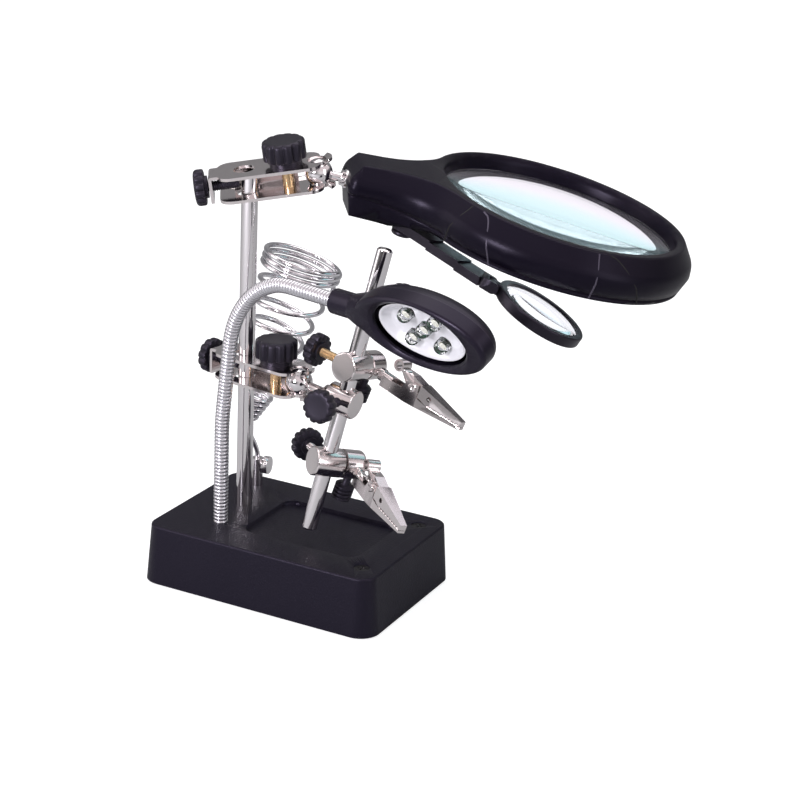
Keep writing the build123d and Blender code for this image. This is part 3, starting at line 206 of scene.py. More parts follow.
class ShaderGroup(Web):
    """A shader node group with named number inputs and outputs."""

    def __init__(self, name: str, inputs: dict[str, float], *outputs: str) -> None:
        """Create the group's sockets.

        Args:
            name: the group's name.
            inputs: each input and its default.
            outputs: the names of its outputs.
        """
        super().__init__(bpy.data.node_groups.new(name, "ShaderNodeTree"))
        for label, value in inputs.items():
            socket = self.tree.interface.new_socket(label, in_out="INPUT", socket_type="NodeSocketFloat")
            socket.default_value = value
        for label in outputs:
            self.tree.interface.new_socket(label, in_out="OUTPUT", socket_type="NodeSocketFloat")
        self.given = self.tree.nodes.new("NodeGroupInput").outputs
        self.result = self.tree.nodes.new("NodeGroupOutput").inputs


class Effects:
    """The effects that several finishes share, each built once on first use."""

    _made: dict[Callable[[], ShaderGroup], ShaderGroup] = {}

    @classmethod
    def place(
        cls, build: Callable[[], ShaderGroup], web: Web, values: dict[str | int, object]
    ) -> bpy.types.NodeOutputs:
        """Put an effect into a material with its own values.

        Args:
            build: the function that builds its group, called the first time.
            web: the material's nodes.
            values: what feeds the group's inputs.

        Returns:
            The group's outputs in the material.
        """
        if build not in cls._made:
            cls._made[build] = build()
        return web.node("Group", values, node_tree=cls._made[build].tree).outputs

    @staticmethod
    def grain() -> ShaderGroup:
        """Build the moulding grain.

        Returns:
            The group, with a fine height and a slow change of sheen over the piece.
        """
        inputs = {"Grain per metre": 2600.0, "Sheen change": 0.08}
        group = ShaderGroup("Moulding grain", inputs, "Height", "Sheen")
        patches_per_metre = 55.0
        group.feed(group.result["Height"], group.noise(group.given["Grain per metre"], detail=2.0))
        swing = group.math("SUBTRACT", group.noise(patches_per_metre, detail=4.0), 0.5)
        group.feed(group.result["Sheen"], group.math("MULTIPLY", swing, group.given["Sheen change"]))
        return group

    @staticmethod
    def edge_wear() -> ShaderGroup:
        """Build the mask of rubbed edges.

        Returns:
            The group, with a mask where a rounded normal leaves the true one, broken up by noise.
        """
        group = ShaderGroup("Edge wear", {"Width": 0.0003, "Amount": 0.5, "Breakup": 420.0}, "Mask")
        strength = 9.0
        rounded = group.node("Bevel", {"Radius": group.given["Width"]}, samples=4).outputs["Normal"]
        true_normal = group.node("NewGeometry").outputs["Normal"]
        sharp = group.math("MULTIPLY", group.math("SUBTRACT", 1.0, group.dot(rounded, true_normal)), strength)
        patchy = group.math("MULTIPLY", sharp, group.noise(group.given["Breakup"], detail=3.0))
        capped = group.math("MINIMUM", group.math("MULTIPLY", patchy, group.given["Amount"]), 1.0)
        group.feed(group.result["Mask"], group.math("MAXIMUM", capped, 0.0))
        return group

    @staticmethod
    def handling() -> ShaderGroup:
        """Build faint finger marks.

        Returns:
            The group, with a roughness that rises in clouds over plated metal.
        """
        inputs = {"Base": 0.08, "Marks": 0.06, "Marks per metre": 120.0}
        group = ShaderGroup("Handling marks", inputs, "Roughness")
        cloud = group.noise(group.given["Marks per metre"], detail=5.0, roughness=0.6)
        rise = group.math("MULTIPLY", cloud, group.given["Marks"])
        group.feed(group.result["Roughness"], group.math("ADD", rise, group.given["Base"]))
        return group


# ---------------------------------------------------------------- finishes
class Coat(Web):
    """The nodes of a new material round its Principled shader."""

    def __init__(self, name: str) -> None:
        """Create the material.

        Args:
            name: the finish in a maker's plain words.
        """
        self.material = bpy.data.materials.new(name)
        self.material.use_nodes = True
        super().__init__(self.material.node_tree)

    def shaded(self, values: dict[str, object]) -> bpy.types.Material:
        """Finish the material.

        Args:
            values: what feeds each of the Principled shader's inputs.

        Returns:
            The material.
        """
        shader = self.tree.nodes["Principled BSDF"]
        for label, value in values.items():
            self.feed(shader.inputs[label], value)
        return self.material


@dataclass(frozen=True)
class Moulding:
    """Black moulded plastic with a fine grain and lightly rubbed edges."""

    name: str
    colour: Triple = (0.0065, 0.0050, 0.0105)
    rubbed: Triple = (0.050, 0.044, 0.062)
    roughness: float = 0.34
    grain_per_metre: float = 2600.0
    grain_height: float = 0.00003
    grain_strength: float = 0.6
    sheen_change: float = 0.10
    wear: float = 0.5
    specular: float = 0.42
    specular_tint: Triple = (0.82, 0.74, 1.0)

    def material(self) -> bpy.types.Material:
        """Build the finish.

        Returns:
            The finish as a Blender material.
        """
        coat = Coat(self.name)
        pattern = {"Grain per metre": self.grain_per_metre, "Sheen change": self.sheen_change}
        grain = Effects.place(Effects.grain, coat, pattern)
        worn = Effects.place(Effects.edge_wear, coat, {"Amount": self.wear})["Mask"]
        relief = {"Distance": self.grain_height, "Strength": self.grain_strength, "Height": grain["Height"]}
        return coat.shaded({
            "Base Color": coat.mixed(worn, self.colour, self.rubbed),
            "Roughness": coat.math("ADD", grain["Sheen"], self.roughness),
            "Normal": coat.node("Bump", relief).outputs["Normal"],
            "Specular IOR Level": self.specular,
            "Specular Tint": self.specular_tint,
        })


@dataclass(frozen=True)
class Plating:
    """Bright metal with faint handling marks."""

    name: str
    colour: Triple = (0.80, 0.775, 0.785)
    roughness: float = 0.05
    marks: float = 0.07
    marks_per_metre: float = 120.0

    def material(self) -> bpy.types.Material:
        """Build the finish.

        Returns:
            The finish as a Blender material.
        """
        coat = Coat(self.name)
        pattern = {"Base": self.roughness, "Marks": self.marks, "Marks per metre": self.marks_per_metre}
        rough = Effects.place(Effects.handling, coat, pattern)["Roughness"]
        return coat.shaded({"Base Color": self.colour, "Metallic": 1.0, "Roughness": rough})


@dataclass(frozen=True)
class Glass:
    """Clear glass or resin with a faint body colour."""

    name: str
    colour: Triple
    index: float

    def material(self) -> bpy.types.Material:
        """Return the finish as a Blender material."""
        look = {"Base Color": self.colour, "Transmission Weight": 1.0, "Roughness": 0.0, "IOR": self.index}
        return Coat(self.name).shaded(look)


@dataclass(frozen=True)
class GlassWithPaintedGlow:
    """Slightly hazy glass whose body colour runs along a direction, in metres, from a painted glow at the
    near end to the glass's own tint at the far end.
    """

    name: str
    near: Triple
    far: Triple
    direction: Triple
    start: float
    span: float
    index: float
    haze: float

    def material(self) -> bpy.types.Material:
        """Build the finish.

        Returns:
            The finish as a Blender material.
        """
        coat = Coat(self.name)
        # The share runs from the painted glow colour at the near end to the glass's own tint at the far end.
        along = coat.dot(coat.node("TexCoord").outputs["Object"], self.direction)
        share = coat.eased(along, self.start, self.start + self.span)
        return coat.shaded({
            "Base Color": coat.mixed(share, self.near, self.far),
            "Transmission Weight": 1.0 - self.haze,
            "Roughness": 0.0,
            "IOR": self.index,
        })


@dataclass(frozen=True)
class Plain:
    """A plain matt or glossy finish for small pieces."""

    name: str
    colour: Triple
    roughness: float
    metallic: float = 0.0

    def material(self) -> bpy.types.Material:
        """Return the finish as a Blender material."""
        look = {"Base Color": self.colour, "Roughness": self.roughness, "Metallic": self.metallic}
        return Coat(self.name).shaded(look)


class Finish(Enum):
    """Every finish on the stand."""

    BASE_PLASTIC = Moulding(
        "Base moulding", colour=(0.0045, 0.0038, 0.0085), roughness=0.42, specular=0.27,
        grain_per_metre=1500.0, grain_height=0.00014,
    )
    HEAD_PLASTIC = Moulding(
        "Magnifier moulding", colour=(0.0045, 0.0034, 0.0080), roughness=0.33, wear=0.2, specular=0.15
    )
    LAMP_PLASTIC = Moulding("Lamp moulding", roughness=0.33, specular=0.28)
    ARM_PLASTIC = Moulding("Lens arm moulding", colour=(0.005, 0.004, 0.006), wear=0.4)
    KNOB_PLASTIC = Moulding("Knob moulding", colour=(0.006, 0.0055, 0.008), roughness=0.42, wear=0.7)
    SEAM_SHADOW = Plain("Seam shadow", (0.0015, 0.0012, 0.002), roughness=0.8)
    # The ridges' colour is a painted highlight: the same black plastic made about ten times lighter, for the
    # light their edges catch.
    RIDGE_PAINTED_HIGHLIGHT = Moulding("Moulded ridge", colour=(0.060, 0.053, 0.072), roughness=0.35, wear=0.9)
    CHROME = Plating("Chrome plate")
    NICKEL = Plating("Nickel plate", colour=(0.77, 0.72, 0.715), roughness=0.09, marks=0.10)
    NECK_STEEL = Plating("Ribbed steel", colour=(0.64, 0.64, 0.67), roughness=0.30, marks=0.06)
    WIRE_STEEL = Plating("Plated wire", colour=(0.80, 0.79, 0.82), roughness=0.07, marks=0.05)
    ZINC = Plating("Zinc plate", colour=(0.62, 0.62, 0.63), roughness=0.24, marks=0.10)
    BRASS = Plating("Brass", colour=(0.62, 0.43, 0.24), roughness=0.22, marks=0.10)
    SPRING_STEEL = Plating("Spring steel", colour=(0.50, 0.49, 0.49), roughness=0.26)
    BLACK_STEEL = Plain("Blackened steel", (0.018, 0.017, 0.019), roughness=0.34, metallic=0.6)
    RUBBER = Plain("Rubber", (0.012, 0.012, 0.012), roughness=0.85)
    REFLECTOR = Plain("Reflector paint", (0.80, 0.80, 0.84), roughness=0.22, metallic=0.25)
    # The cyan near colour is a painted edge glow across one side of the lens; the lilac far colour is the
    # glass's faint tint.
    LENS_GLASS = GlassWithPaintedGlow(
        "Lens glass", near=(0.60, 0.93, 0.96), far=(0.97, 0.93, 1.0),
        direction=(-0.33, 0.94, 0.0), start=0.036, span=0.020, index=1.22, haze=0.05,
    )
    SMALL_LENS_GLASS = Glass("Small lens glass", colour=(0.95, 0.94, 0.985), index=1.3)
    LED_RESIN = Glass("Clear resin", colour=(0.97, 0.98, 1.0), index=1.5)
    LED_CUP = Plating("Lamp cup", colour=(0.80, 0.79, 0.72), roughness=0.18)
    BOARD = Plain("Circuit board", (0.02, 0.10, 0.05), roughness=0.45)
    CELL_SLEEVE = Plain("Cell sleeve", (0.35, 0.06, 0.05), roughness=0.35)


class Wardrobe:
    """Makes each finish's material once and puts it on pieces."""

    _materials: dict[Finish, bpy.types.Material] = {}

    @classmethod
    def dress(cls, piece: bpy.types.Object, finish: Finish) -> None:
        """Give a piece its finish.

        Args:
            piece: the mesh object.
            finish: the finish to put on it.
        """
        if finish not in cls._materials:
            cls._materials[finish] = finish.value.material()
        piece.data.materials.clear()
        piece.data.materials.append(cls._materials[finish])


# ---------------------------------------------------------------- surfaces
def unit(vector: Array) -> Array:
    """Return vectors scaled to length 1."""
    return vector / np.linalg.norm(vector, axis=-1, keepdims=True)


@dataclass(frozen=True)
class Place:
    """A local frame in the row frame: an origin in millimetres and two axes."""

    origin: Array
    x: Array
    z: Array

    @classmethod
    def on_axis(cls, origin: Array, axis: Array, towards: Array = UP) -> Place:
        """Return a frame whose Z runs along an axis and whose X leans towards a direction.

        Args:
            origin: the frame's origin.
            axis: the direction of its Z.
            towards: what X is turned towards, as far as square to Z allows. Along Z, X_AXIS takes its place.

        Returns:
            The frame.
        """
        almost_parallel = 0.98
        z = unit(np.asarray(axis, float))
        hint = X_AXIS if abs(float(towards @ z)) > almost_parallel else towards
        return cls(np.asarray(origin, float), unit(hint - (hint @ z) * z), z)

    def put(self, points: Array) -> Array:
        """Return local points, whose last axis is x, y, z, in the row frame."""
        y = np.cross(self.z, self.x)
        return self.origin + points[..., 0:1] * self.x + points[..., 1:2] * y + points[..., 2:3] * self.z

    def shifted(self, x: float = 0.0, y: float = 0.0, z: float = 0.0) -> Place:
        """Return the frame moved along its own axes."""
        return Place(self.put(np.array([x, y, z], float)), self.x, self.z)


def grid_faces(rows: int, columns: int) -> Array:
    """Return the quads of a grid of points, four indices each.

    Args:
        rows: the grid's rows.
        columns: its columns.

    Returns:
        One row of indices for every pair of rows and of columns that are neighbours.
    """
    row, column = np.meshgrid(np.arange(rows - 1), np.arange(columns - 1), indexing="ij")
    corner = (row * columns + column).ravel()
    return np.stack([corner, corner + 1, corner + columns + 1, corner + columns], axis=1)


def full_turn(segments: int) -> Array:
    """Return evenly spaced angles round a turn, the first one repeated at the end as 2 pi."""
    return np.linspace(0.0, 2 * math.pi, segments + 1)


def about_z(radius: Array, angle: Array, height: Array) -> Array:
    """Return the points at a distance from Z, an angle round it and a height."""
    radius, angle, height = np.broadcast_arrays(radius, angle, height)
    return np.stack([radius * np.cos(angle), radius * np.sin(angle), height], axis=-1)


def closed(wall: Array, first: Array, last: Array) -> Array:
    """Return a grid with a row on one point added at either end."""
    first, last = (np.broadcast_to(point, (1, *wall.shape[1:])) for point in (first, last))
    return np.concatenate([first, wall, last])


def turned(stations: Array, segments: int = 64, flutes: int = 0, depth: float = 0.0) -> Array:
    """Return a surface of revolution about Z, with grooves cut along its wall where asked.

    The point at turn t of station (r, z, w) lies at distance r - w * depth * g(t) from the axis, where
    g = ((1 + cos(flutes * t)) / 2) ** 3 is a row of narrow grooves between wide lobes.

    Args:
        stations: one row of radius, height and groove share for each ring.
        segments: points round the axis.
        flutes: how many grooves.
        depth: their depth, 0 for a plain wall.

    Returns:
        A grid of points, a ring for each station, its first column repeated at the end.
    """
    angle = full_turn(segments)
    groove = ((1 + np.cos(flutes * angle)) / 2) ** 3
    return about_z(stations[:, 0:1] - stations[:, 2:3] * depth * groove, angle, stations[:, 1:2])


def profile(*corners: tuple[float, ...]) -> Array:
    """Return lathe stations from (radius, height) corners, with a groove share of 0 where none is given."""
    return np.array([(*corner, 0.0)[:3] for corner in corners], float)


def threaded(length: float, radius: float, pitch: float = 0.8, depth: float = 0.28) -> Array:
    """Return a screw thread along Z from 0.

    The radius at turn t and height z is radius - depth * v, where v is a triangle wave of
    z / pitch - t / 2 pi, so that the crest climbs one pitch in a turn. Both ends close on the axis.

    Args:
        length: how far the thread runs.
        radius: over the crests.
        pitch: crest to crest.
        depth: crest to root.

    Returns:
        A grid of points.
    """
    rings_per_pitch, segments = 6, 24
    height = np.linspace(0.0, length, int(length / pitch * rings_per_pitch) + 2)[:, None]
    angle = full_turn(segments)[None, :]
    phase = (height / pitch - angle / (2 * math.pi)) % 1.0
    wall = about_z(radius - depth * np.abs(2 * phase - 1), angle, height)
    return closed(wall, 0.0 * UP, length * UP)


def even_path(points: Array, step: float, smooth: float) -> Array:
    """Return a path with evenly spaced points, its corners eased by a moving average.

    Args:
        points: the rough path.
        step: the spacing wanted.
        smooth: the length over which corners are eased.

    Returns:
        The even path, its ends in place.
    """
    run = np.concatenate([[0.0], np.cumsum(np.linalg.norm(np.diff(points, axis=0), axis=1))])
    where = np.linspace(0.0, run[-1], int(round(run[-1] / step)) + 1)
    even = np.stack([np.interp(where, run, points[:, axis]) for axis in range(3)], axis=1)
    half = int(smooth / step / 2)
    before = 2 * even[0] - even[half:0:-1]
    after = 2 * even[-1] - even[-2:-half - 2:-1]
    padded = np.concatenate([before, even, after])
    kernel = np.ones(2 * half + 1) / (2 * half + 1)
    return np.stack([np.convolve(padded[:, axis], kernel, mode="valid") for axis in range(3)], axis=1)


def carried(path: Array, radius: Array | float, segments: int, side: Array | None = None) -> Array:
    """Return a tube: a circle carried along a path, square to it, with closed ends.

    The circle's first axis is square to the path and to the given side direction, or the last frame's axis
    carried on without twist where no side is given.

    Args:
        path: the centreline.
        radius: one radius, or one for each point of the path.
        segments: points round the tube.
        side: a direction that is never along the path.

    Returns:
        A grid of points.
    """
    along = unit(np.gradient(path, axis=0))
    if side is not None:
        first = unit(np.cross(along, side))
    else:
        almost_parallel = 0.8
        first = np.zeros_like(path)
        guess = X_AXIS if abs(along[0, 0]) < almost_parallel else Y_AXIS
        for index, heading in enumerate(along):
            guess = unit(guess - (guess @ heading) * heading)
            first[index] = guess
    second = np.cross(along, first)
    angle = full_turn(segments)[None, :, None]
    ring = first[:, None, :] * np.cos(angle) + second[:, None, :] * np.sin(angle)
    size = np.broadcast_to(radius, len(path))[:, None, None]
    return closed(path[:, None, :] + size * ring, path[0], path[-1])


# ---------------------------------------------------------------- pieces
class Workshop:
    """Turns surfaces and CAD nodes into finished pieces on their bodies."""

    def __init__(self, frame: dict) -> None:
        """Keep what the pieces need of the loaded frame.
        """
        self.nodes = frame["nodes"]
        self.joints = {joint["name"]: joint for joint in frame["joints"]}
        bodies = frame["record"]["behaviour"]["bodies"]
        self.body_of = {node: body for body, members in bodies.items() for node in members}
        self.slot_of = {part["node"]: part["material_slot"] for part in frame["record"]["subparts"]}

    def joint_place(self, name: str) -> Place:
        """Return the frame whose Z is a joint's axis, its origin in millimetres."""
        joint = self.joints[name]
        return Place.on_axis(np.array(joint.get("pos_m", (0, 0, 0))) / MM, np.array(joint["axis"]))

    def middle(self, node: str) -> Array:
        """Return the middle of a CAD node's box, in millimetres."""
        low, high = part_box(node)
        return np.array((low + high) / 2) / MM

    @staticmethod
    def new_piece(
        name: str, mesh: bpy.types.Mesh, crease: float, merge: float, outwards: bool
    ) -> bpy.types.Object:
        """Make an object of a mesh, its doubles merged and shaded smooth between its creases.

        Args:
            name: the object's name.
            mesh: its mesh.
            crease: the angle in degrees above which an edge stays sharp.
            merge: the distance in metres under which points are one.
            outwards: whether the faces have to be turned outwards.

        Returns:
            The new object.
        """
        work = bmesh.new()
        work.from_mesh(mesh)
        bmesh.ops.remove_doubles(work, verts=work.verts, dist=merge)
        if outwards:
            bmesh.ops.recalc_face_normals(work, faces=work.faces)
        work.to_mesh(mesh)
        work.free()
        mesh.shade_smooth()
        mesh.set_sharp_from_angle(angle=math.radians(crease))
        piece = bpy.data.objects.new(name, mesh)
        bpy.context.scene.collection.objects.link(piece)
        return piece

    def surface(
        self, name: str, grids: list[Array], finish: Finish, stands_for: tuple[str, ...] = (),
        body: str | None = None, crease: float = 40.0, bends: bool = False,
    ) -> bpy.types.Object:
        """Make one piece from one or more closed grids of points in the row frame.

        Args:
            name: the piece's name.
            grids: the grids, in millimetres.
            finish: what it is finished in.
            stands_for: the CAD nodes that it replaces.
            body: the CAD body that it rides on, where it replaces none.
            crease: the angle in degrees above which an edge stays sharp.
            bends: whether the piece is left free, on no body.

        Returns:
            The new object.
        """
        points, faces, offset = [], [], 0
        for grid in grids:
            points.append(grid.reshape(-1, 3) * MM)
            faces.append(grid_faces(*grid.shape[:2]) + offset)
            offset += grid.shape[0] * grid.shape[1]
        mesh = bpy.data.meshes.new(name)
        mesh.from_pydata(np.concatenate(points).tolist(), [], np.concatenate(faces).tolist())
        piece = self.new_piece(name, mesh, crease, merge=2e-8, outwards=True)
        Wardrobe.dress(piece, finish)
        if stands_for:
            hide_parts(*stands_for)
        if not bends:
            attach(piece, body or self.body_of[stands_for[0]])
        log.info("surface %s, %d points", name, len(mesh.vertices))
        return piece

    def smoothed(self, finish: Finish, names: dict[str, str], crease: float = 32.0) -> None:
        """Dress CAD nodes with merged copies of their meshes, shaded smooth between their creases.

        Args:
            finish: what they are finished in.
            names: each CAD node and its piece's name.
            crease: the angle in degrees above which an edge stays sharp.
        """
        for node, name in names.items():
            piece = self.new_piece(name, self.nodes[node].data.copy(), crease, merge=1e-6, outwards=False)
            piece.modifiers.new("Flat faces stay flat", "WEIGHTED_NORMAL").keep_sharp = True
            Wardrobe.dress(piece, finish)
            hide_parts(node)
            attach(piece, self.body_of[node])
            log.info("copy %s of %s", name, node)

    def plain(self, finish: Finish, *nodes: str) -> None:
        """Give CAD nodes their finish and leave their meshes alone.

        Args:
            finish: what they are finished in.
            nodes: the CAD nodes.
        """
        for node in nodes:
            Wardrobe.dress(self.nodes[node], finish)
            log.info("node %s", node)


# ---------------------------------------------------------------- sub-assemblies
@dataclass
class Base:
    """The plastic base with its door, feet, cells, post and holder socket."""

    shop: Workshop
    housing_crease: float = 30.0

    def build(self) -> None:
        """Dress every piece of the base."""
        shop = self.shop
        shop.smoothed(Finish.BASE_PLASTIC, {"base_shell": "base_housing"}, self.housing_crease)
        shop.smoothed(Finish.BLACK_STEEL, {"base_screws": "base_cover_screws"})
        shop.smoothed(Finish.CHROME, {
            "post": "upright_post", "holder_socket": "iron_holder_socket",
            "holder_screw": "iron_holder_thumbscrew",
        })
        shop.plain(Finish.BASE_PLASTIC, "base_cover", "battery_door")
        shop.plain(Finish.RUBBER, "rubber_feet")
        shop.plain(Finish.CELL_SLEEVE, "battery_cells")
        shop.plain(Finish.SPRING_STEEL, "battery_contacts")
        shop.plain(Finish.ZINC, "post_nut")


@dataclass
class IronHolder:
    """The coiled wire holder for a soldering iron. A stretch is its turns, rise per turn and end radius."""

    shop: Workshop
    wire: float = 1.9
    wire_sides: int = 14
    foot: Triple = (-32.15, 23.25, 24.4)
    tail_top: float = 34.7
    cone_start: Triple = (-34.95, 21.35, 50.6)
    axis: Triple = (0.255, 0.141, 0.957)
    cone_radius: float = 2.6
    stretches: tuple[Triple, ...] = (
        (4.5, 2.15, 5.8), (2.0, 13.0, 10.8), (1.0, 7.0, 11.6),
        (1.0, 9.0, 13.0), (1.0, 8.0, 14.4), (2.8, 2.3, 14.6),
    )
    left_open: float = 0.125
    steps_per_turn: int = 36
    tail_steps: int = 40
    step: float = 0.75
    easing: float = 2.2

    def coil(self) -> Array:
        """Return the coil's centreline.

        A point at turn t stands at height h(t) along the axis and radius r(t) from it, and both change
        evenly along each stretch. The last stretch stops short by the share of a turn that is left open.

        Returns:
            The points from the cone to the mouth.
        """
        along = unit(np.array(self.axis))
        side = unit(np.cross(along, UP))
        other = np.cross(along, side)
        counts, rise_rates, ends = np.array(self.stretches).T
        turns = np.concatenate([[0.0], np.cumsum(counts)])
        rises = np.concatenate([[0.0], np.cumsum(counts * rise_rates)])
        turn = np.linspace(0.0, turns[-1] - self.left_open, int(turns[-1] * self.steps_per_turn))[:, None]
        radius = np.interp(turn, turns, [self.cone_radius, *ends])
        height = np.interp(turn, turns, rises)
        angle = 2 * math.pi * turn
        outwards = side * np.cos(angle) + other * np.sin(angle)
        return self.cone_start + along * height + radius * outwards

    def tail(self, end: Array, heading: Array) -> Array:
        """Return the tail: straight up out of the socket, then a smooth curve into the coil.

        The curve is a cubic with its end points and end directions given.

        Args:
            end: the coil's first point.
            heading: the coil's direction there.

        Returns:
            The points from the foot to just before the coil.
        """
        foot = np.array(self.foot)
        top = np.array([foot[0], foot[1], self.tail_top])
        span = float(np.linalg.norm(end - top))
        t = np.linspace(0.0, 1.0, self.tail_steps)[:-1, None]
        near_top = (2 * t**3 - 3 * t**2 + 1) * top + (t**3 - 2 * t**2 + t) * span * UP
        near_end = (3 * t**2 - 2 * t**3) * end + (t**3 - t**2) * span * heading
        return np.concatenate([foot[None], near_top + near_end])

    def build(self) -> None:
        """Make the wire."""
        coil = self.coil()
        rough = np.concatenate([self.tail(coil[0], unit(coil[1] - coil[0])), coil])
        grid = carried(even_path(rough, self.step, self.easing), self.wire / 2, self.wire_sides)
        self.shop.surface("iron_holder_coil", [grid], Finish.WIRE_STEEL, ("iron_holder",))


@dataclass
class Gooseneck:
    """The ribbed tube that carries the lamp."""

    shop: Workshop
    radius: float = 2.6
    sides: int = 32
    pitch: float = 1.35
    steps_per_rib: int = 8
    rib: float = 0.30
    rib_growth: float = 1.3
    rib_power: float = 0.45
    rib_crease: float = 60.0
    foot_z: float = 22.3
    hinge_z: float = 62.0
    lean: float = 3.4
    shoulder_z: float = 91.9
    arc_radius: float = 28.0
    arc_stretch: float = 1.02
    arc_steps: int = 40
    reach: float = 57.0
    easing: float = 9.0
    bend_half: float = 12.0

    def centreline(self) -> Array:
        """Return the tube's centreline in the row frame.

        It runs straight up to mid height, leans out to the shoulder, follows the arc that leaves the
        shoulder in line and meets the tail, and ends level inside the lamp's neck.

        Returns:
            The points from the base to the lamp.
        """
        shoulder = np.array([self.lean, self.shoulder_z])
        start = np.array([0.0, self.hinge_z])
        way = unit(shoulder - start)
        sweep = math.pi / 2 - math.atan2(way[0], way[1])
        quarter = np.array([(1 - math.cos(sweep)) * self.arc_stretch, math.sin(sweep)])
        end = shoulder + self.arc_radius * quarter
        normal = np.array([way[1], -way[0]])
        chord = end - shoulder
        radius = float(chord @ chord) / (2 * float(normal @ chord))
        centre = shoulder + normal * radius
        first, last = (math.atan2(*(point - centre)[::-1]) for point in (shoulder, end))
        angle = np.linspace(first, last, self.arc_steps)
        arc = centre + radius * np.stack([np.cos(angle), np.sin(angle)], axis=1)
        flat = np.concatenate([[[0.0, self.foot_z]], [start], arc, [[self.reach, end[1]]]])
        outwards = self.shop.joint_place("lamp_tilt").z * (X_AXIS + Y_AXIS)
        line = self.shop.joint_place("gooseneck_bend").origin + flat[:, 0:1] * outwards
        line[:, 2] = flat[:, 1]
        return line

    def build(self) -> None:
        """Make the ribbed tube, left on no body.

        Along the run s its radius grows over each rib by a power of |sin(pi * s / pitch)|.
        """
        step = self.pitch / self.steps_per_rib
        path = even_path(self.centreline(), step, self.easing)
        wave = np.abs(np.sin(math.pi * np.arange(len(path)) * step / self.pitch))
        radius = self.radius - self.rib + self.rib * self.rib_growth * wave**self.rib_power
        across = np.cross(self.shop.joint_place("lamp_tilt").z, UP)
        piece = self.shop.surface(
            "gooseneck_tube", [carried(path, radius, self.sides, across)], Finish.NECK_STEEL,
            ("gooseneck_lower", "gooseneck_upper"), crease=self.rib_crease, bends=True,
        )
        x, y, _ = self.shop.joints["gooseneck_bend"]["pos_m"]
        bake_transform(piece)


@dataclass
class Lamp:
    """The oval lamp head with its five lamps and push button."""

    shop: Workshop
    spread: tuple[float, float] = (6.2, 4.8)
    board_z: float = 7.3
    board_thick: float = 1.0
    cup_z: float = 4.4
    cup_sides: int = 20
    cup: tuple[tuple[float, float], ...] = (
        (0.0, 0.2), (0.5, 0.2), (0.95, -0.5), (1.05, -0.5), (0.6, 0.5), (0.6, 2.0), (0.0, 2.0),
    )

    def place(self) -> Place:
        """Return the lamp's frame: X along the neck, Z to the back of the head.

        Returns:
            The frame, its origin board_z in front of the board.
        """
        neck = self.shop.joint_place("lamp_tilt").z
        back = -self.shop.joint_place("lamp_button_press").z
        board = Place(self.shop.middle("lamp_board"), neck, back)
        return board.shifted(z=-self.board_z - self.board_thick / 2)

    def cups(self) -> list[Array]:
        """Return the small reflector cup in each lamp's dome.

        Returns:
            A grid for each cup.
        """
        across, along = self.spread
        spots = [(x, y) for x in (-across, across) for y in (-along, along)] + [(0.0, 0.0)]
        frame, cup = self.place(), turned(profile(*self.cup), self.cup_sides)
        return [frame.shifted(x=x, y=y, z=self.cup_z).put(cup) for x, y in spots]

    def build(self) -> None:
        """Dress the lamp head."""
        shop = self.shop
        shop.smoothed(Finish.LAMP_PLASTIC, {
            "lamp_front_shell": "lamp_bezel", "lamp_back_shell": "lamp_back",
            "lamp_button": "lamp_push_button",
        })
        shop.smoothed(Finish.REFLECTOR, {"lamp_reflector": "lamp_dish"})
        shop.smoothed(Finish.LED_RESIN, {"lamp_leds": "lamp_domes"})
        shop.surface("lamp_led_cups", self.cups(), Finish.LED_CUP, body="lamp")
        shop.plain(Finish.BOARD, "lamp_board")


@dataclass(frozen=True)
class FlutedKnob:
    """A moulded knob: lobed wall, rounded shoulder, and a hub under it."""

    radius: float
    height: float
    hub_radius: float
    hub_height: float
    flutes: int = 12
    steps_per_flute: int = 10
    depth: float = 0.75

    def grid(self, place: Place, start: float = 0.0) -> Array:
        """Return the knob's surface.

        Args:
            place: the frame whose Z runs out through the knob.
            start: where the hub's face stands on that axis.

        Returns:
            A grid of points in the row frame.
        """
        low, top, wall = self.hub_height, self.hub_height + self.height, self.radius
        stations = profile(
            (0.0, 0.0), (self.hub_radius, 0.0), (self.hub_radius, low),
            (wall - 0.7, low, 0.8), (wall - 0.15, low + 0.25, 1.0), (wall, low + 0.8, 1.0),
            (wall, top - 1.3, 1.0), (wall - 0.25, top - 0.6, 0.9), (wall - 0.9, top - 0.12, 0.5),
            (wall - 1.6, top, 0.1), (wall - 2.6, top - 0.05), (0.0, top - 0.25),
        )
        knob = turned(stations, self.flutes * self.steps_per_flute, self.flutes, self.depth)
        return place.shifted(z=start).put(knob)


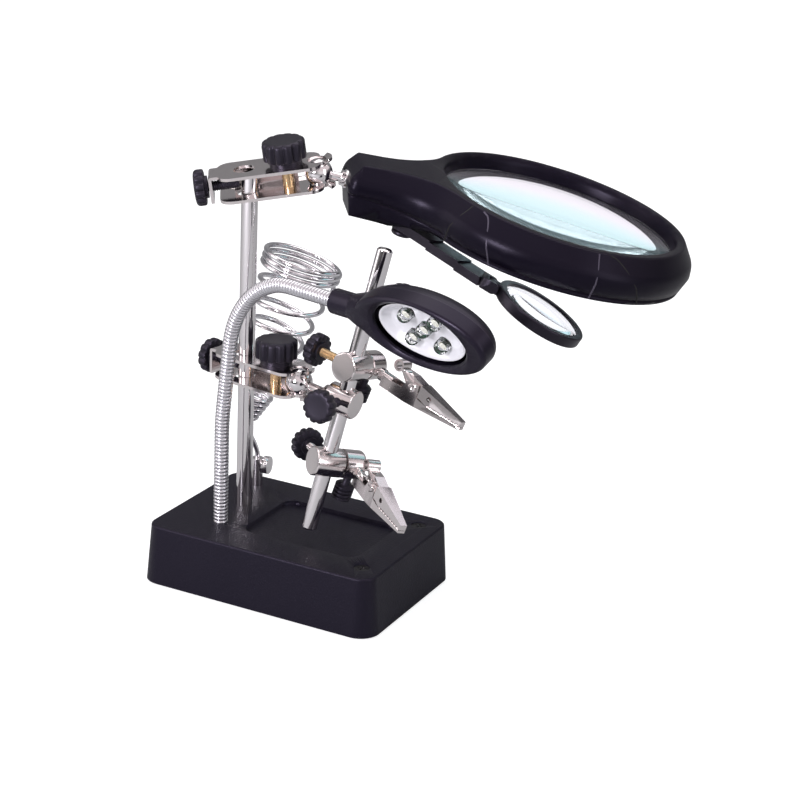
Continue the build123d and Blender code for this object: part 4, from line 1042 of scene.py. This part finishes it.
@dataclass
class Bracket:
    """One ball bracket on the post, with its two knobs, bolt and ball."""

    shop: Workshop
    level: str
    ball_radius: float = 5.0
    ball_rings: int = 33
    knob: FlutedKnob = FlutedKnob(7.8, 7.0, 5.8, 1.8, depth=0.9)
    knob_start: float = -3.15
    post_knob: FlutedKnob = FlutedKnob(6.5, 3.8, 4.0, 1.0)
    post_knob_start: float = 0.6
    shank_start: float = -10.5
    shank_length: float = 11.1
    shank_radius: float = 1.9

    def ball(self) -> Array:
        """Return the ball about Z: a half circle of stations, turned."""
        tilt = np.linspace(-math.pi / 2, math.pi / 2, self.ball_rings)
        return turned(self.ball_radius * np.stack([np.cos(tilt), np.sin(tilt), 0.0 * tilt], axis=1))

    def build(self) -> None:
        """Dress the bracket."""
        shop, level = self.shop, self.level
        shop.smoothed(Finish.NICKEL, {f"{level}_channel": f"{level}_bracket_channel"})
        shop.smoothed(Finish.BRASS, {f"{level}_ball_bolt": f"{level}_bracket_bolt"})
        axis = shop.joint_place(f"{level}_knob_turn")
        grip = self.knob.grid(axis, self.knob_start)
        shop.surface(f"{level}_bracket_knob", [grip], Finish.KNOB_PLASTIC, (f"{level}_ball_knob",))
        screw = shop.joint_place(f"{level}_post_screw_turn")
        grip = self.post_knob.grid(screw, self.post_knob_start)
        shank = screw.shifted(z=self.shank_start).put(threaded(self.shank_length, self.shank_radius))
        shop.surface(f"{level}_post_thumbscrew", [grip, shank], Finish.KNOB_PLASTIC, (f"{level}_post_screw",))
        ball = Place.on_axis(shop.middle(f"{level}_ball"), axis.z).put(self.ball())
        shop.surface(f"{level}_bracket_ball", [ball], Finish.CHROME, (f"{level}_ball",))


@dataclass(frozen=True)
class MouldedLine:
    """One moulded line on the ring's wall, from the lip down to the lower edge.

    At share t of the way down it stands at angle top + (foot - top) * t ** ease round the lens axis, in
    degrees.
    """

    top: float
    foot: float
    ease: float
    raised: bool


@dataclass(frozen=True)
class Lens:
    """A biconvex lens: its diameter, the thickness of its rim and the radius of both faces.

    A crowding under 1 brings its rings closer together towards the rim.
    """

    diameter: float
    edge: float
    curve: float
    rings: int = 28
    segments: int = 128
    crowding: float = 0.8

    def grid(self, place: Place) -> Array:
        """Return the lens's surface.

        Each face is part of a sphere: at distance r from the axis it stands edge / 2 + s(r) from the mid
        plane, where s(r) = sqrt(R^2 - r^2) - sqrt(R^2 - r_rim^2).

        Args:
            place: the frame in the lens's mid plane whose Z is its axis.

        Returns:
            A grid of points in the row frame.
        """
        rim = self.diameter / 2
        reach = np.linspace(0.0, 1.0, self.rings) ** self.crowding * rim
        bulge = np.sqrt(self.curve**2 - reach**2) - math.sqrt(self.curve**2 - rim**2) + self.edge / 2
        face = np.stack([reach, bulge, np.zeros(self.rings)], axis=1)
        back = face[::-1] * np.array([1.0, -1.0, 1.0])
        return place.put(turned(np.concatenate([face, back]), self.segments))


@dataclass
class Magnifier:
    """The bench magnifier: two shells, the large lens, and the small lens on its arm."""

    shop: Workshop
    lens: Lens = Lens(90.0, 3.2, 200.0)
    lens_seat: float = 1.0
    small_lens: Lens = Lens(31.0, 2.0, 60.0, rings=16, segments=72)
    shell_crease: float = 50.0
    wall_heights: tuple[float, ...] = (-6.2, 0.0, 2.2, 4.8, 9.3)
    wall_radii: tuple[float, ...] = (50.8, 52.8, 52.4, 51.2, 48.0)
    lines: tuple[MouldedLine, ...] = (
        MouldedLine(-145.0, -151.5, 1.0, False), MouldedLine(-139.0, -128.0, 0.45, True),
        MouldedLine(-86.5, -86.0, 1.0, True), MouldedLine(-81.0, -63.0, 0.62, False),
    )
    line_radius: float = 0.42
    line_steps: int = 28
    line_sides: int = 10
    ridge_sink: float = 0.62
    groove_sink: float = 0.72

    def moulded_lines(self, raised: bool) -> list[Array]:
        """Return the ring's moulded lines, each a thin bar sunk in the wall, on both sides of the handle.

        Args:
            raised: whether the ridges or the grooves are wanted.

        Returns:
            A grid for each line.
        """
        share = np.linspace(0.0, 1.0, self.line_steps)
        height = np.interp(share, [0.0, 1.0], [self.wall_heights[-1], self.wall_heights[0]])
        sink = self.ridge_sink if raised else self.groove_sink
        reach = np.interp(height, self.wall_heights, self.wall_radii) - self.line_radius * sink
        bars = []
        for line in (line for line in self.lines if line.raised is raised):
            for side in (-1.0, 1.0):
                angle = np.radians(line.top + (line.foot - line.top) * share**line.ease) * side
                bar = carried(about_z(reach, angle, height), self.line_radius, self.line_sides)
                bars.append(self.place().put(bar))
        return bars

    def place(self) -> Place:
        """Return the head's frame: X away from the handle, Z up the lens axis.

        Returns:
            The frame, its origin on the lens axis at the seam.
        """
        normal = self.shop.joint_place("lens_arm_swing").z
        centre = self.shop.middle("main_lens") - normal * (self.lens_seat + self.lens.edge / 2)
        return Place(centre, unit(centre - self.shop.joint_place("magnifier_pitch").origin), normal)

    def build(self) -> None:
        """Dress the magnifier."""
        shop = self.shop
        shells = {"head_upper_shell": "magnifier_top_shell", "head_lower_shell": "magnifier_bottom_shell"}
        shop.smoothed(Finish.HEAD_PLASTIC, shells, self.shell_crease)
        # The ridges' lighter finish is a painted highlight along their edges.
        shop.surface("ring_ridges", self.moulded_lines(True), Finish.RIDGE_PAINTED_HIGHLIGHT, body="magnifier")
        shop.surface("ring_grooves", self.moulded_lines(False), Finish.SEAM_SHADOW, body="magnifier")
        shop.smoothed(Finish.CHROME, {"head_stem": "magnifier_stem"})
        shop.smoothed(Finish.ARM_PLASTIC, {
            "lens_arm": "small_lens_arm", "arm_knob": "small_lens_pivot", "small_ring": "small_lens_ring",
        })
        shop.plain(Finish.BLACK_STEEL, "head_screws")
        seat = self.place().shifted(z=self.lens_seat + self.lens.edge / 2)
        shop.surface("magnifier_lens", [self.lens.grid(seat)], Finish.LENS_GLASS, ("main_lens",))
        hinge = shop.joint_place("small_lens_flip")
        centre = shop.middle("small_lens")
        outward = unit(centre - hinge.origin)
        grid = self.small_lens.grid(Place.on_axis(centre, np.cross(outward, hinge.z), outward))
        shop.surface("small_round_lens", [grid], Finish.SMALL_LENS_GLASS, ("small_lens",))


@dataclass
class ClampArm:
    """The cross rod with its clamp, swivels and spring clips."""

    shop: Workshop
    knob: FlutedKnob = FlutedKnob(6.1, 4.2, 3.4, 0.8)
    knob_reach: float = 14.4
    rod_radius: float = 2.85
    rod_gap: float = 0.05
    shank_radius: float = 1.7
    shank_in_knob: float = 1.0

    def thumbscrew(self, joint: str) -> tuple[Array, Array]:
        """Return a thumbscrew on a joint's axis.

        Args:
            joint: the joint whose origin is the knob's near face.

        Returns:
            The grids of the knob and of the threaded shank, which runs from inside the knob to the rod.
        """
        place = self.shop.joint_place(joint)
        length = self.knob_reach - self.rod_radius - self.rod_gap + self.shank_in_knob
        shank = place.shifted(z=self.shank_in_knob - length).put(threaded(length, self.shank_radius))
        return self.knob.grid(place), shank

    def build(self) -> None:
        """Dress the arm."""
        shop = self.shop
        shop.smoothed(Finish.NICKEL, {"rod_clamp": "rod_clamp_barrel"})
        shop.smoothed(Finish.CHROME, {"cross_rod": "cross_bar"})
        screw = self.thumbscrew("rod_clamp_screw_turn")
        shop.surface("rod_clamp_thumbscrew", list(screw), Finish.KNOB_PLASTIC, ("rod_clamp_screw",))
        for side, metal in {"a": Finish.BRASS, "b": Finish.NICKEL}.items():
            swivel, clip = f"swivel_{side}", f"clip_{side}"
            knob, shank = self.thumbscrew(f"thumbscrew_{side}_turn")
            shop.surface(f"{swivel}_grip", [knob], Finish.KNOB_PLASTIC, (f"{swivel}_knob",))
            shop.surface(f"{swivel}_thread", [shank], metal, (f"{swivel}_screw",))
            shop.smoothed(Finish.NICKEL, {
                f"{swivel}_barrel": f"{swivel}_body", f"{swivel}_head": f"{swivel}_turret",
            })
            shop.smoothed(Finish.KNOB_PLASTIC, {f"{swivel}_head_screw": f"{swivel}_ring_screw"})
            shop.smoothed(Finish.NICKEL, {
                f"{clip}_jaw": f"{clip}_lower_jaw", f"{clip}_lever": f"{clip}_upper_jaw",
                f"{clip}_rivet": f"{clip}_pin",
            })
            shop.smoothed(Finish.SPRING_STEEL, {f"{clip}_spring": f"{clip}_coil"})


# ---------------------------------------------------------------- studio
@dataclass(frozen=True)
class Softbox:
    """One soft rectangular light that faces a point."""

    name: str
    position: Triple
    size: tuple[float, float]
    power: float
    colour: Triple = (1.0, 1.0, 1.0)


@dataclass
class Studio:
    """Floor, backdrop, lights and camera, in metres."""

    aim: Triple = (0.03, 0.0, 0.08)
    camera_at: Triple = (0.33298, -0.58927, 0.31648)
    camera_right: Triple = (0.8869, 0.4598, 0.0435)
    camera_up: Triple = (-0.1928, 0.2830, 0.9395)
    focal_length: float = 90.0
    sensor_width: float = 36.0
    nearest: float = 0.01
    lights: tuple[Softbox, ...] = (
        Softbox("overhead", (0.05, 0.15, 0.80), (0.9, 0.8), 3.2),
        Softbox("left", (-0.70, -0.35, 0.42), (0.35, 0.7), 1.3, (1.0, 0.97, 0.97)),
        Softbox("right", (0.80, -0.10, 0.30), (0.25, 0.6), 0.9, (0.96, 0.95, 1.0)),
        Softbox("front", (-0.16, -0.78, 0.34), (0.22, 0.22), 5.5, (0.98, 0.95, 1.0)),
    )
    floor_back: Triple = (-0.446, 0.895, 0.0)
    floor_right: Triple = (0.895, 0.446, 0.0)
    floor_half_width: float = 2.4
    floor_flat: tuple[float, float] = (-1.6, 0.6)
    bend_start: float = 0.9
    bend_radius: float = 0.6
    bend_steps: int = 17
    backdrop_top: float = 2.2
    floor_colour: Triple = (0.48, 0.48, 0.485)
    floor_roughness: float = 0.9
    floor_lift: float = 0.80
    room_light: Triple = (0.50, 0.50, 0.51)
    ceiling: Triple = (0.80, 0.71, 0.73)
    ceiling_from: float = 0.22
    ceiling_full: float = 0.38
    panel_tint: Triple = (1.0, 0.955, 0.97)
    panels: tuple[tuple[float, float], ...] = (
        (0.0, 0.50), (0.12, 0.62), (0.17, 0.06), (0.25, 0.04), (0.29, 0.40), (0.36, 0.85), (0.49, 0.90),
        (0.55, 0.25), (0.62, 0.06), (0.68, 0.45), (0.78, 0.66), (0.88, 0.60), (0.94, 0.22),
    )

    def floor(self) -> None:
        """Make the plain pale floor that curves up behind the stand into a backdrop.

        The section runs flat towards the back, turns up through a quarter circle and stands upright.
        """
        turn = np.linspace(0.0, math.pi / 2, self.bend_steps)
        flat = [[end, 0.0] for end in self.floor_flat]
        bend = self.bend_radius * np.stack([np.sin(turn), 1 - np.cos(turn)], axis=1)
        wall = [self.bend_start + self.bend_radius, self.backdrop_top]
        section = np.concatenate([flat, bend + [self.bend_start, 0.0], [wall]])[:, None, :]
        across = self.floor_half_width * np.array([-1.0, 0.0, 1.0])[None, :, None]
        grid = section[..., 0:1] * self.floor_back + across * self.floor_right + section[..., 1:2] * UP
        mesh = bpy.data.meshes.new("floor")
        mesh.from_pydata(grid.reshape(-1, 3).tolist(), [], grid_faces(*grid.shape[:2]).tolist())
        mesh.shade_smooth()
        floor = bpy.data.objects.new("floor", mesh)
        bpy.context.scene.collection.objects.link(floor)
        mesh.materials.append(self.floor_material())
        floor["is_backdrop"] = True

    def floor_material(self) -> bpy.types.Material:
        """Build the pale floor, matt for the light, and near white for the eye with the stand's shadow kept.

        Returns:
            The material.
        """
        coat = Coat("Pale floor")
        return coat.shaded({
            "Base Color": self.floor_colour,
            "Roughness": self.floor_roughness,
            "Specular IOR Level": 0.0,
            "Emission Color": (1.0, 1.0, 1.0),
            "Emission Strength": coat.math("MULTIPLY", coat.in_view(), self.floor_lift),
        })

    def world(self) -> None:
        """Set a soft room: even light, with bright and dark panels for glossy rays so that metal shows form.

        The panels stand round the room by bearing, as a share of a turn, under a ceiling that fades in with
        height. What the camera sees of the room is white.
        """
        world = bpy.data.worlds.new("Studio room")
        bpy.context.scene.world = world
        world.use_nodes = True
        web = Web(world.node_tree)
        x, y, z = web.node("SeparateXYZ", {0: web.node("TexCoord").outputs["Generated"]}).outputs
        bearing = web.math("MULTIPLY_ADD", web.math("ARCTAN2", y, x), 1 / (2 * math.pi), 0.5)
        panels = web.node("ValToRGB", {"Fac": bearing})
        ramp = panels.color_ramp
        for position, _ in self.panels[1:-1]:
            ramp.elements.new(position)
        for element, (position, value) in zip(ramp.elements, self.panels):
            element.position = position
            element.color = (*(value * share for share in self.panel_tint), 1.0)
        overhead = web.eased(z, self.ceiling_from, self.ceiling_full)
        room = web.mixed(overhead, panels.outputs["Color"], self.ceiling)
        glossy = web.node("LightPath").outputs["Is Glossy Ray"]
        lit = web.mixed(glossy, self.room_light, room)
        seen = web.mixed(web.in_view(), lit, (1.0, 1.0, 1.0))
        web.feed(world.node_tree.nodes["Background"].inputs["Color"], seen)

    def light(self, box: Softbox) -> None:
        """Hang one softbox, turned to the aim point and unseen through glass.

        Args:
            box: the softbox.
        """
        data = bpy.data.lights.new(box.name, "AREA")
        data.shape = "RECTANGLE"
        data.size, data.size_y = box.size
        data.energy = box.power
        data.color = box.colour
        lamp = bpy.data.objects.new(box.name, data)
        bpy.context.scene.collection.objects.link(lamp)
        position = Vector(box.position)
        lamp.rotation_euler = (position - Vector(self.aim)).to_track_quat("Z", "Y").to_euler()
        lamp.location = position
        lamp.visible_transmission = False

    def camera(self) -> None:
        """Set the camera on its three axes."""
        data = bpy.data.cameras.new("camera")
        data.lens = self.focal_length
        data.sensor_width = self.sensor_width
        data.clip_start = self.nearest
        camera = bpy.data.objects.new("camera", data)
        bpy.context.scene.collection.objects.link(camera)
        right, up = Vector(self.camera_right).normalized(), Vector(self.camera_up).normalized()
        back = right.cross(up).normalized()
        turn = Matrix((right, back.cross(right), back)).transposed()
        camera.matrix_world = Matrix.Translation(Vector(self.camera_at)) @ turn.to_4x4()
        bpy.context.scene.camera = camera

    def build(self) -> None:
        """Set the studio up."""
        self.floor()
        self.world()
        for box in self.lights:
            self.light(box)
        self.camera()
        bpy.context.scene.view_settings.view_transform = "Standard"


def write_sizes(before: tuple[Vector, Vector], after: tuple[Vector, Vector]) -> None:
    boxes = {name: [list(corner) for corner in box] for name, box in (("cad", before), ("visual", after))}


def main() -> None:
    """Dress the stand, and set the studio."""
    logging.basicConfig(level=logging.INFO, format="%(name)s: %(message)s")
    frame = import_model()
    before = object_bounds()
    shop = Workshop(frame)
    for part in (
        Base(shop), IronHolder(shop), Gooseneck(shop), Lamp(shop), Bracket(shop, "upper"),
        Bracket(shop, "lower"), Magnifier(shop), ClampArm(shop),
    ):
        log.info("building %s", type(part).__name__)
        part.build()
    Studio().build()
    write_sizes(before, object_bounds())


if __name__ == "__main__":
    main()
